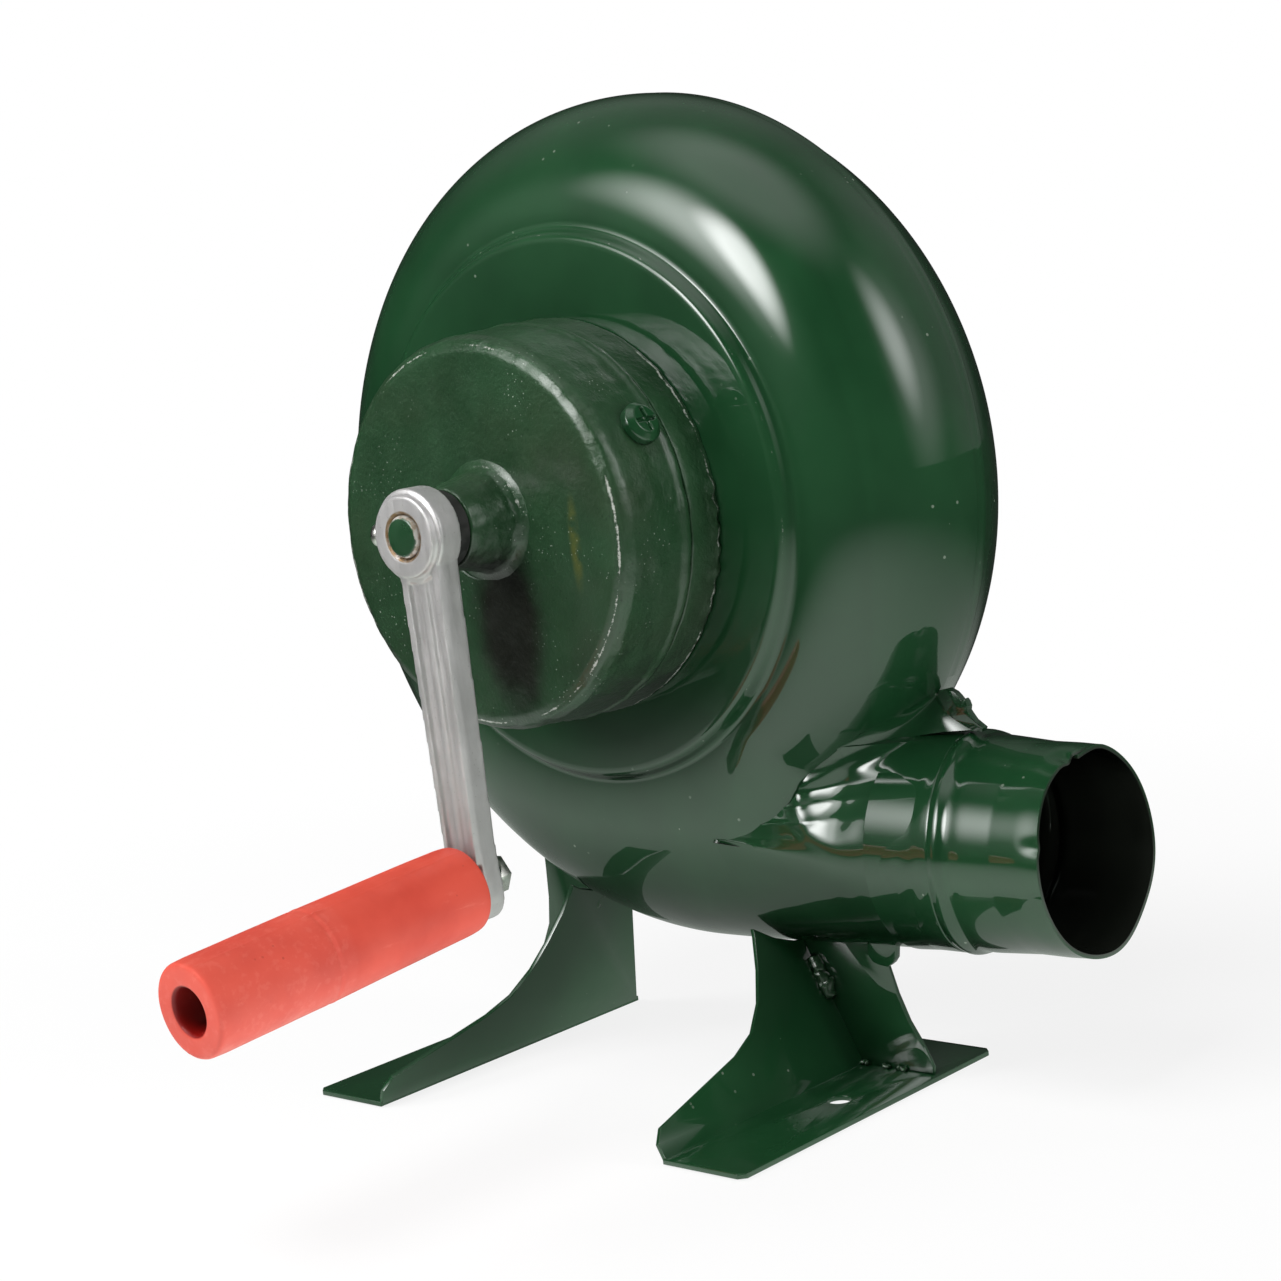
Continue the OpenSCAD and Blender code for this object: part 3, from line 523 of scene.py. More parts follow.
def crotch_web():
    """Stretched sheet between the bulge and the top of the neck: each cross line is a parabola
    that leaves the bulge along its skin, straight down, and ends on the neck."""
    knots, fine = np.linspace(0, 1, 6), np.linspace(0, 1, 61)
    angle = np.interp(fine, knots, np.radians([-43.6, -40.1, -37.0, -34.9, -33.2, -31.8]))
    turn = np.interp(fine, knots, np.radians([49.0, 55.1, 64.5, 76.2, 82.5, 87.0]))
    reach = np.interp(fine, knots, [1.2, 2.4, 3.2, 3.8, 4.6, 5.2])[:, None]
    lower = np.array([(80.6, 99.0, 24.0), (87.0, 101.6, 19.6), (91.0, 103.4, 14.8),
                      (96.5, 104.5, 9.2), (103.0, 105.0, 5.0), (110.0, 105.3, 2.9)])
    lower = np.stack([np.interp(fine, knots, lower[:, k]) for k in range(3)], -1)
    soft = np.ones(9) / 9
    for line in (angle, turn, *lower.T):
        line[4:-4] = np.convolve(line, soft, "valid")
    upper = bulge(angle, turn, FRONT_DEPTH)
    round_it = bulge(angle + 0.004, turn, FRONT_DEPTH) - upper
    outwards = bulge(angle, turn + 0.004, FRONT_DEPTH) - upper
    skin = np.cross(round_it, outwards)
    skin /= np.linalg.norm(skin, axis=1, keepdims=True)
    down = np.array([0.0, -1.0, 0.0]) + skin * skin[:, 1:2]
    down /= np.linalg.norm(down, axis=1, keepdims=True)
    guide = upper + down * reach
    upper = upper - down * 0.6
    t = np.linspace(0, 1, 17)[None, :, None]
    u, g, w = (line[:, None] for line in (upper, guide, lower))
    points = (1 - t) ** 2 * u + 2 * t * (1 - t) * g + t ** 2 * w
    return surface("crotch_web", [(points,)], wall=0.8, outside=(95, 100, -10))


def outlet_pipe():
    """Rolled sheet: radius against angle and length, with a beaded root, a lapped seam that
    opens towards the mouth, and a mouth that is cut off square and a little dented."""
    seam, lap = math.radians(83.0), math.radians(9.0)
    tilt = math.tan(math.radians(MOUTH_SLANT))
    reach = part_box("outlet_pipe")[1][0] * 1000 - CASE_X
    start, end = PIPE_START + 0.3, reach - PIPE_R * tilt - 0.1
    s = np.linspace(0, 1, 96)[None]
    t = np.linspace(0, 1, 361)[:, None]
    x = start + (end - start) * s
    opened = smooth_step((x - 122) / 14.0)
    angle = seam + t * (2 * np.pi + lap * opened)
    past_seam = np.degrees(angle - seam)
    radius = pipe_radius(x) - 1.3 * opened * (1 - smooth_step(past_seam / 26.0))
    from_bead = x - bead_line(angle)
    radius = radius - 0.3 * (1 - smooth_step((from_bead + 1.0) / 1.5))
    radius = radius + 0.8 * hump(from_bead, 2.9, 1.9) - 0.2 * hump(from_bead, 7.0, 2.2)
    rim = smooth_step((s - 0.86) / 0.14)
    ripple = 0.2 * np.sin(3 * angle + 0.6) + 0.14 * np.sin(7 * angle + 2.0) - 0.25
    dents = 1.1 * hump(past_seam, 352, 5.0) + 0.7 * hump(past_seam, 292, 4.0)
    radius = radius + rim * (ripple - dents)
    y = PIPE_Z + radius * np.sin(angle)
    x = x - s ** 2 * (y - PIPE_Z) * tilt
    x = x + rim * (0.35 * np.sin(4 * angle + 1.0) - 0.9 * hump(past_seam, 357, 4.0) - 0.5)
    points = np.stack([x, y, radius * np.cos(angle)], -1)
    return surface("outlet_pipe_rolled", [(points,)], wall=SHEET_T, outside=(110, PIPE_Z, 0))


# Gearbox, crank and grip
def cover_wear(points):
    """Bare metal where the cover's rim and the root of its boss are rubbed."""
    from_drum = np.hypot(points[:, 0], points[:, 1] - DRUM_Z)
    from_crank = np.hypot(points[:, 0] - CRANK_X, points[:, 1] - CRANK_Z)
    rim = hump(from_drum, 54.6, 0.9) * (points[:, 2] > COVER_Z - 3)
    root = hump(from_crank, 15.6, 0.9) * (points[:, 2] > COVER_Z - 1)
    return 0.85 * rim + 0.8 * root


def gear_cover():
    """Turned cover and boss, each a closed profile with rounded corners and a cast skin."""
    under, back = COVER_Z - 4, 55.1              # inside of the lid, rear edge of its skirt
    lid = rounded([(12, under), (12, COVER_Z), (53.2, COVER_Z), (56.1, 80.4), (57.3, 77.6),
                   (58.1, 58.8), (58.9, 57.4), (58.9, 56.0), (58.2, back), (54.6, back),
                   (54.6, under)], 0.8)
    bore, tip = 8.05, 98.7
    boss = rounded([(bore, 79), (bore, tip), (11.6, tip), (13.7, 88.4), (14.3, 84.8), (15.2, 83.2),
                    (16.8, 82.2), (18.4, 81.6), (17, 79)], 0.6)
    patches = [revolve(divided(lid, 1.6), (0, DRUM_Z), 320, 0.13, 8.0, 4),
               revolve(divided(boss, 1.2), (CRANK_X, CRANK_Z), 160, 0.14, 6.0, 5)]
    return surface("gear_cover_cast", patches, sharp=45, wear=cover_wear)


def foot_wear(points):
    """Torn paint where the drum stands on the plateau."""
    r = np.hypot(points[:, 0], points[:, 1] - DRUM_Z)
    return 0.9 * hump(points[:, 2], 44.6, 0.7) * (r > 57)


def gear_housing():
    """The drum behind the cover, whose foot is ragged where the paint has set, and the tube that
    carries the fan's bearings."""
    foot, floor, mouth = PLATEAU_Z + 0.05, 47.6, 69
    drum = rounded([(13, foot), (58.9, foot), (59.0, 44.7), (58.1, 54.6), (54.5, 54.95),
                    (54.5, mouth), (51.5, mouth), (51.5, floor), (13, floor)], 0.5)
    grid = revolve(divided(drum, 1.8), (0, DRUM_Z), 320, 0.10, 8.0, 7)[0]
    ragged = (grid[..., 2] < 45.5) & (np.hypot(grid[..., 0], grid[..., 1] - DRUM_Z) > 57)
    grid[..., 0] *= 1 + ragged * 0.006 * (0.5 + waves(grid, 5.0, 8))
    tube = rounded([(9.6, 20.2), (14, 20.2), (14, 48), (9.6, 48)], 0.4)
    patches = [(grid, True, True), revolve(tube, (0, FAN_Z), 96)]
    return surface("gear_housing_cast", patches, sharp=45, wear=foot_wear)


def turn_about(points, axis, angle):
    """Turns points about one axis of the casing frame."""
    c, s = math.cos(angle), math.sin(angle)
    turn = {"x": [[1, 0, 0], [0, c, -s], [0, s, c]], "y": [[c, 0, s], [0, 1, 0], [-s, 0, c]],
            "z": [[c, -s, 0], [s, c, 0], [0, 0, 1]]}[axis]
    return points @ np.array(turn).T


def at_grip(points):
    """From the grip's own frame, z along its axis away from the arm, to the casing frame."""
    points = turn_about(turn_about(points, "x", GRIP_DROOP), "y", -GRIP_YAW)
    points = points + [0, -ARM_LEN, HANDLE_Z]
    return turn_about(points, "z", ARM_LEAN) + [CRANK_X, CRANK_Z, 0]


def grip():
    """Moulded handle: a profile turned about its axis, with a parting line round its middle,
    mould seams along both sides, a flash mark where they meet, and faint sink ripples."""
    start, end = PAD + 0.3, PAD + 0.15 + GRIP_LEN
    middle, floor = start + GRIP_LEN * 0.57, end - 15.9
    bore, counterbore = 3.1, 6.4
    outer = rounded([(bore, start), (GRIP_R - 0.9, start), (GRIP_R - 0.5, start + 4), (GRIP_R, middle),
                     (GRIP_R + 0.05, end - 5), (GRIP_R - 0.2, end), (counterbore, end),
                     (counterbore, floor), (bore, floor)], 1.5, 6)
    radius, along = divided(outer, 0.9).T
    angle = np.linspace(0, 2 * np.pi, 240, endpoint=False)[:, None]

    def turned_from(at):
        return np.angle(np.exp(1j * (angle - at)))

    near, far = 1.15, -1.99
    skin = smooth_step((radius - 11.5) / 1.0)
    parting = 0.16 * hump(along, middle, 0.35) - 0.24 * hump(along, middle + 1.1, 0.6)
    seam = hump(np.minimum(np.abs(turned_from(near)), np.abs(turned_from(far))), 0.0, 0.02)
    flash = hump(along, middle + 0.5, 2.6) * hump(turned_from(near), 0.0, 0.03)
    r = radius + skin * (parting + 0.10 * seam + 0.45 * flash)
    points = np.stack([r * np.cos(angle), r * np.sin(angle), along + 0 * angle], -1)
    points[..., :2] *= 1 + (skin * 0.004 * waves(points, 26.0, 12, 2))[..., None]
    piece = surface("grip_moulded", [(at_grip(points), True, True)], sharp=40)

    place = np.empty(len(piece.data.vertices) * 3)
    piece.data.vertices.foreach_get("co", place)
    ends = at_grip(np.array([[0.0, 0.0, start], [0.0, 0.0, end]]))
    way = (ends[1] - ends[0]) / np.linalg.norm(ends[1] - ends[0])
    from_axis = np.linalg.norm(np.cross(from_part(place.reshape(-1, 3)) - ends[0], way), axis=1)
    # The bore is marked, where the red plastic is painted dark as painted shade.
    mark_points(piece.data, "bore", from_axis < counterbore + 0.6)
    return piece


# Welds
def weld_bead(path, radius, seed):
    """Weld metal: a tube along a path whose radius swells and shrinks by a wave field."""
    path = np.array(path, float)
    steps = np.concatenate([[0], np.cumsum(np.linalg.norm(np.diff(path, axis=0), axis=1))])
    at = np.linspace(0, steps[-1], max(12, int(steps[-1] / 0.7)))
    line = np.stack([np.interp(at, steps, path[:, k]) for k in range(3)], -1)
    way = np.gradient(line, axis=0)
    way /= np.linalg.norm(way, axis=1, keepdims=True)
    side = np.cross(way, [0.2, 0.3, 1.0])
    side /= np.linalg.norm(side, axis=1, keepdims=True)
    other = np.cross(way, side)
    angle = np.linspace(0, 2 * np.pi, 14, endpoint=False)[:, None]
    ends = np.sqrt(np.clip(1 - (2 * at / at[-1] - 1) ** 8, 0.0, 1.0))
    skin = line[None] + radius * (np.cos(angle)[..., None] * side + np.sin(angle)[..., None] * other)
    swell = ends * (1 + 0.35 * waves(skin, radius * 3.2, seed, 3))
    points = line[None] + (skin - line[None]) * swell[..., None]
    return points, True, False


def welds():
    """Beads where the legs, their gussets and the casing meet: up the webs, each from one
    height to another with its radius, and along the right foot."""
    def web_x(z, lean):
        return BEND_X + LEG_T / math.cos(lean) - z * math.tan(lean)

    beads = []
    for side, lean, out, lift, seed, spans in (
            (1, RIGHT_LEAN, 1.2, 0.5, 20, ((21, 27, 2.3), (24, 30, 2.7), (28, 34, 1.7))),
            (-1, LEFT_LEAN, 1.0, 0.6, 30, ((8, 22, 1.7), (30, 46, 1.9)))):
        for k, (low, high, radius) in enumerate(spans):
            path = [(side * (web_x(z, lean) + out) - CASE_X, z, GUSSET_Z + lift)
                    for z in np.linspace(low, high, 8)]
            beads.append(weld_bead(path, radius, seed + k))
    for k, (near, far, radius) in enumerate(((61.5, 65, 0.8), (70, 73, 0.7), (75, 79, 0.8))):
        path = [(x, 2.2, GUSSET_Z + 0.7) for x in np.linspace(near, far, 6)]
        beads.append(weld_bead(path, radius, 41 + k))
    return surface("weld_beads", beads, sharp=60)


# Finishes
class Nodes:
    """Adds nodes to the tree of a material or of the world. An input is a socket or a value."""

    def __init__(self, owner, coordinates="Object", empty=False):
        owner.use_nodes = True
        self.tree = owner.node_tree
        if empty:
            self.tree.nodes.clear()
        self.place = self.add("ShaderNodeTexCoord").outputs[coordinates]

    def add(self, kind, inputs=None, **settings):
        made = self.tree.nodes.new(kind)
        for key, value in settings.items():
            setattr(made, key, value)
        for key, value in (inputs or {}).items():
            if isinstance(value, bpy.types.NodeSocket):
                self.tree.links.new(value, made.inputs[key])
            else:
                made.inputs[key].default_value = value
        return made

    def math(self, operation, a, b=0.0):
        return self.add("ShaderNodeMath", {0: a, 1: b}, operation=operation).outputs[0]

    def step(self, value, low, high, out_low=0.0, out_high=1.0):
        return self.add("ShaderNodeMapRange", {"Value": value, "From Min": low, "From Max": high,
                                               "To Min": out_low, "To Max": out_high},
                        interpolation_type="SMOOTHSTEP").outputs["Result"]

    def length(self, vector):
        return self.add("ShaderNodeVectorMath", {0: vector}, operation="LENGTH").outputs["Value"]

    def far_from(self, centre, size):
        """Distance from a centre in metres, in units of a size per axis. None leaves an axis out."""
        scale = [0.0 if one is None else 1.0 / one for one in size]
        shift = [-c * one for c, one in zip(centre, scale)]
        return self.length(self.add("ShaderNodeMapping", {"Vector": self.place, "Scale": scale,
                                                          "Location": shift}).outputs[0])


class Finish(Nodes):
    """A paint, metal or plastic, laid on in the object's own coordinates."""

    def __init__(self, name, **fixed):
        self.material = bpy.data.materials.new(name)
        super().__init__(self.material)
        self.shader = self.tree.nodes["Principled BSDF"]
        for socket, value in fixed.items():
            self.shader.inputs[socket.replace("_", " ")].default_value = value

    def noise(self, per_metre, detail=3.0, rough=0.55, stretch=None):
        place = self.place
        if stretch:
            place = self.add("ShaderNodeMapping", {"Vector": place, "Scale": stretch}).outputs[0]
        return self.add("ShaderNodeTexNoise", {"Vector": place, "Scale": per_metre,
                                               "Detail": detail, "Roughness": rough}).outputs["Fac"]

    def spots(self, per_metre, size, feather=0.1):
        cells = self.add("ShaderNodeTexVoronoi", {"Vector": self.place, "Scale": per_metre})
        return self.step(cells.outputs["Distance"], size, size * (1 - feather))

    def blend(self, amount, a, b):
        made = self.add("ShaderNodeMix", {0: amount}, data_type="RGBA")
        for slot, colour in ((6, a), (7, b)):
            if isinstance(colour, bpy.types.NodeSocket):
                self.tree.links.new(colour, made.inputs[slot])
            else:
                made.inputs[slot].default_value = (*colour, 1.0)
        return made.outputs[2]

    def colour(self, socket):
        self.tree.links.new(socket, self.shader.inputs["Base Color"])

    def gloss(self, socket):
        self.tree.links.new(socket, self.shader.inputs["Roughness"])

    def relief(self, *layers):
        """Bumps from (height socket, strength, distance in millimetres), one upon another."""
        normal = None
        for height, strength, distance in layers:
            inputs = {"Height": height, "Strength": strength, "Distance": distance * 0.001}
            if normal is not None:
                inputs["Normal"] = normal
            normal = self.add("ShaderNodeBump", inputs).outputs[0]
        self.tree.links.new(normal, self.shader.inputs["Normal"])

    def mark(self, name="wear"):
        return self.add("ShaderNodeAttribute", attribute_name=name).outputs["Fac"]


GREEN = (0.0105, 0.052, 0.0185)
GREEN_DEEP = (0.0065, 0.036, 0.0125)
BARE = (0.42, 0.44, 0.40)


def sheet_enamel():
    """Glossy green paint on pressed sheet: faint clouds, long waves, dust, worn rims, and painted
    shade that makes its inner side nearly black.
    """
    f = Finish("sheet_enamel", Coat_Weight=1.0, Coat_Roughness=0.03, IOR=1.5, Specular_IOR_Level=0.08)
    clouds = f.step(f.noise(14, 4), 0.35, 0.7)
    base = f.blend(clouds, GREEN_DEEP, GREEN)
    dust = f.math("MULTIPLY", f.spots(190, 0.09), f.step(f.noise(30, 2), 0.56, 0.66))
    base = f.blend(f.math("MULTIPLY", dust, 0.5), base, (0.25, 0.30, 0.24))
    worn = f.step(f.math("MULTIPLY", f.mark(), f.noise(420, 4, 0.7)), 0.30, 0.42)
    # Painted shade: the inner side of the sheet is made nearly black.
    base = f.blend(f.mark("inside"), base, (0.0150, 0.0180, 0.0140))
    f.colour(f.blend(worn, base, BARE))
    f.gloss(f.step(f.noise(60, 4), 0.3, 0.75, 0.30, 0.45))
    f.relief((f.noise(24, 2), 0.10, 2.0), (f.noise(330, 2), 0.035, 0.3), (dust, 0.5, 0.15))
    return f.material


def cast_enamel():
    """The same paint, thin over rough castings: pits, specks, rubbed edges, a stray streak and
    below the crank a painted reflection, a dark brown smudge for the arm and the dark room."""
    f = Finish("cast_enamel", Coat_Weight=0.42, Coat_Roughness=0.20, IOR=1.5, Specular_IOR_Level=0.28)
    clouds = f.step(f.noise(32, 5), 0.35, 0.68)
    base = f.blend(clouds, (0.0105, 0.036, 0.0140), (0.0160, 0.051, 0.0210))
    base = f.blend(f.step(f.noise(17, 4), 0.45, 0.75, 0.0, 0.45), base, (0.026, 0.034, 0.018))
    pits = f.spots(420, 0.16, 0.5)
    base = f.blend(f.math("MULTIPLY", pits, 0.5), base, (0.003, 0.012, 0.006))
    flecks = f.math("MULTIPLY", f.spots(650, 0.15, 0.3), f.step(f.noise(38, 3), 0.52, 0.64))
    base = f.blend(f.math("MULTIPLY", flecks, 0.7), base, (0.26, 0.32, 0.26))

    from_streak = f.far_from((0.0355, 0.0, 0.171), (0.0028, None, 0.016))
    streak = f.math("MULTIPLY", f.step(from_streak, 1.0, 0.3), f.step(f.noise(160, 4), 0.4, 0.6))
    base = f.blend(f.math("MULTIPLY", streak, 0.5), base, (0.10, 0.10, 0.010))
    # Painted reflection: a soft dark brown smudge below the crank stands for the arm and the dark room
    # mirrored in the cover.
    from_painted_reflection = f.far_from((0.0068, 0.0, 0.147), (0.014, None, 0.027))
    painted_reflection_smear = f.math("ADD", from_painted_reflection, f.math("MULTIPLY", f.noise(70, 4), 0.7))
    base = f.blend(f.step(painted_reflection_smear, 1.55, 0.85, 0.0, 0.92), base, (0.0085, 0.0075, 0.0060))
    rubbed = f.math("MULTIPLY", f.mark(), f.step(f.noise(48, 2), 0.38, 0.62, 0.62, 1.15))
    worn = f.step(f.math("MULTIPLY", rubbed, f.noise(520, 5, 0.85)), 0.38, 0.50)
    f.colour(f.blend(f.math("MULTIPLY", worn, 0.8), base, BARE))
    f.gloss(f.step(f.noise(90, 4), 0.3, 0.75, 0.28, 0.46))
    f.relief((f.noise(150, 4), 0.45, 0.8), (f.noise(560, 4), 0.75, 0.35), (pits, -0.3, 0.3),
             (flecks, 0.6, 0.15))
    return f.material


def cast_aluminium():
    """Rough-ground cast aluminium: streaks along the arm, grey clouds and small pits."""
    f = Finish("cast_aluminium", Metallic=0.70, IOR=1.5)
    streaks = f.noise(60, 4, 0.6, (9.0, 9.0, 0.8))
    base = f.blend(f.step(f.noise(45, 4), 0.35, 0.7), (0.435, 0.43, 0.425), (0.56, 0.553, 0.55))
    base = f.blend(f.step(streaks, 0.5, 0.75, 0.0, 0.30), base, (0.42, 0.40, 0.40))
    from_crank = f.far_from(CRANK_AT, (1.0, None, 1.0))
    gap = f.math("MULTIPLY", f.step(from_crank, 0.0074, 0.0070),
                 f.step(f.noise(260, 3), 0.35, 0.6, 0.45, 1.0))
    base = f.blend(gap, base, (0.20, 0.125, 0.06))
    pits = f.spots(520, 0.12, 0.5)
    f.colour(f.blend(f.math("MULTIPLY", pits, 0.4), base, (0.2, 0.19, 0.18)))
    f.gloss(f.step(streaks, 0.3, 0.7, 0.40, 0.55))
    f.relief((streaks, 0.09, 0.2), (f.noise(900, 3), 0.20, 0.12), (pits, -0.3, 0.2))
    return f.material


def red_plastic():
    """Red moulded plastic with a fine satin grain, pale scuffs and a little grime. It is paler
    towards the open end, and painted dark in the bore as painted shade."""
    f = Finish("red_plastic", IOR=1.38, Subsurface_Weight=0.03, Subsurface_Scale=0.004)
    clouds = f.step(f.noise(40, 4), 0.3, 0.7)
    base = f.blend(clouds, (0.50, 0.052, 0.033), (0.60, 0.078, 0.050))
    split = f.add("ShaderNodeSeparateXYZ", {"Vector": f.place}).outputs["Y"]
    outer = f.step(split, -0.1275, -0.1295)
    speckle = f.step(f.noise(420, 3, 0.6), 0.50, 0.66)
    base = f.blend(f.math("MULTIPLY", outer, 0.16), base, (0.66, 0.13, 0.10))
    base = f.blend(f.math("MULTIPLY", f.math("MULTIPLY", speckle, outer), 0.08), base,
                   (0.80, 0.30, 0.24))
    scuffs = f.step(f.noise(160, 5, 0.7, (1.0, 0.25, 1.0)), 0.60, 0.74)
    base = f.blend(f.math("MULTIPLY", scuffs, 0.22), base, (0.85, 0.30, 0.22))
    # Painted shade: the bore is made a deep dark red.
    base = f.blend(f.mark("bore"), base, (0.16, 0.004, 0.003))
    grime = f.math("MULTIPLY", f.spots(260, 0.10), f.step(f.noise(50, 2), 0.5, 0.7))
    f.colour(f.blend(f.math("MULTIPLY", grime, 0.4), base, (0.25, 0.03, 0.02)))
    f.gloss(f.step(f.noise(120, 4), 0.3, 0.7, 0.42, 0.56))
    f.relief((f.noise(1400, 2), 0.16, 0.08), (scuffs, 0.08, 0.1))
    return f.material


def zinc_plate():
    """Zinc-plated steel with yellowish clouds and a few brown stains."""
    f = Finish("zinc_plate", Metallic=1.0)
    base = f.blend(f.step(f.noise(220, 4), 0.35, 0.7), (0.50, 0.50, 0.45), (0.70, 0.71, 0.68))
    f.colour(f.blend(f.step(f.noise(90, 3), 0.62, 0.75, 0.0, 0.5), base, (0.36, 0.28, 0.17)))
    f.gloss(f.step(f.noise(400, 3), 0.3, 0.7, 0.22, 0.40))
    f.relief((f.noise(1100, 3), 0.15, 0.06))
    return f.material


def bare_steel():
    """Bare turned steel with a fine grain."""
    f = Finish("bare_steel", Metallic=1.0)
    grain = f.noise(500, 3, 0.6, (1.0, 6.0, 1.0))
    f.colour(f.blend(f.step(grain, 0.3, 0.7), (0.30, 0.30, 0.31), (0.52, 0.52, 0.53)))
    f.gloss(f.step(grain, 0.3, 0.7, 0.24, 0.42))
    f.relief((grain, 0.12, 0.05))
    return f.material


def spangled_zinc():
    """Galvanised sheet of the impeller: grey crystals of differing brightness."""
    f = Finish("spangled_zinc", Metallic=1.0)
    cells = f.add("ShaderNodeTexVoronoi", {"Vector": f.place, "Scale": 160.0}).outputs["Color"]
    tone = f.step(cells, 0.0, 1.0)
    f.colour(f.blend(tone, (0.34, 0.36, 0.37), (0.60, 0.62, 0.63)))
    f.gloss(f.step(f.noise(200, 3), 0.3, 0.7, 0.28, 0.45))
    f.relief((f.noise(600, 3), 0.10, 0.08))
    return f.material


def bronze():
    """Warm brown bearing metal."""
    f = Finish("bronze", Metallic=1.0)
    f.colour(f.blend(f.step(f.noise(300, 3), 0.3, 0.7), (0.36, 0.22, 0.08), (0.55, 0.37, 0.16)))
    f.gloss(f.step(f.noise(500, 3), 0.3, 0.7, 0.25, 0.4))
    f.relief((f.noise(900, 2), 0.1, 0.05))
    return f.material


def black_rubber():
    """Dull black rubber."""
    f = Finish("black_rubber", IOR=1.5)
    f.colour(f.blend(f.step(f.noise(200, 4), 0.3, 0.7), (0.004, 0.004, 0.004),
                     (0.016, 0.016, 0.015)))
    f.gloss(f.step(f.noise(400, 3), 0.3, 0.7, 0.5, 0.7))
    f.relief((f.noise(900, 3), 0.2, 0.08))
    return f.material


def painted_shaft():
    """Shaft end: green paint inside, chipped to bare steel and rust towards its edge."""
    f = Finish("painted_shaft", Coat_Weight=0.4, Coat_Roughness=0.1)
    from_crank = f.far_from(CRANK_AT, (1.0, None, 1.0))
    chipped = f.step(f.math("ADD", from_crank, f.math("MULTIPLY", f.noise(300, 4), 0.0034)), 0.0069, 0.0073)
    rust = f.step(f.noise(500, 4), 0.45, 0.6, 0.0, 0.7)
    edge = f.blend(rust, (0.36, 0.35, 0.32), (0.17, 0.12, 0.07))
    f.colour(f.blend(chipped, f.blend(f.noise(120, 3), GREEN_DEEP, GREEN), edge))
    f.gloss(f.step(f.noise(200, 3), 0.3, 0.7, 0.25, 0.45))
    f.relief((f.noise(600, 3), 0.25, 0.15), (chipped, -0.4, 0.2))
    return f.material


# Assembly
def dress(piece, body, slot, material, *replaced):
    """Gives a new piece its material and body, and hides the CAD nodes it stands for. The slot argument is
    not used.
    """
    piece.data.materials.append(material)
    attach(piece, body)
    if replaced:
        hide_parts(*replaced)


sheet_green, cast_green = sheet_enamel(), cast_enamel()
aluminium, zinc, steel = cast_aluminium(), zinc_plate(), bare_steel()
spangle, shaft_paint = spangled_zinc(), painted_shaft()

dress(front_shell(), "frame", "sheet_enamel", sheet_green, "casing_front")
dress(rear_shell(), "frame", "sheet_enamel", sheet_green, "casing_back")
dress(seam_scraps(), "frame", "sheet_enamel", sheet_green)
dress(crotch_web(), "frame", "sheet_enamel", sheet_green)
dress(outlet_pipe(), "frame", "sheet_enamel", sheet_green, "outlet_pipe")
dress(welds(), "frame", "sheet_enamel", cast_green)
dress(gear_cover(), "frame", "cast_enamel", cast_green, "gear_cover")
dress(gear_housing(), "frame", "cast_enamel", cast_green, "gear_housing")
for node in ("leg_left", "leg_right", "gusset_left", "gusset_right"):
    dress(softened(node, 0.45), "frame", "sheet_enamel", sheet_green, node)
dress(cast_copy("cover_screws", 0.26, 9), "frame", "cast_enamel", sheet_green, "cover_screws")
dress(cast_copy("crank_arm", 0.4, 9), "crank", "cast_aluminium", aluminium, "crank_arm")
dress(softened("crank_shaft", 0.3), "crank", "cast_enamel", shaft_paint, "crank_shaft")
dress(softened("set_screw", 0.3), "crank", "zinc_plate", zinc, "set_screw")
dress(softened("handle_bolt", 0.3), "crank", "zinc_plate", zinc, "handle_bolt")
dress(softened("handle_nut", 0.3), "crank", "zinc_plate", zinc, "handle_nut")
dress(grip(), "hand_grip", "red_plastic", red_plastic(), "grip")

# The CAD nodes that stay in sight, inside the casing and the gearbox
kept = {
    "housing_screws": zinc, "fan_bearings": steel, "crank_bush": bronze(), "idler_post": steel,
    "idler_clip": steel, "crank_gear": steel, "thrust_washer": black_rubber(), "idler_gear": steel,
    "idler_pinion": steel, "fan_shaft": steel, "fan_pinion": steel, "shaft_spacer": steel,
    "impeller_disc": spangle, "impeller_hub": zinc, "impeller_blades": spangle, "impeller_nut": zinc,
}
for name, material in kept.items():
    for place in nodes[name].material_slots:
        place.material = material


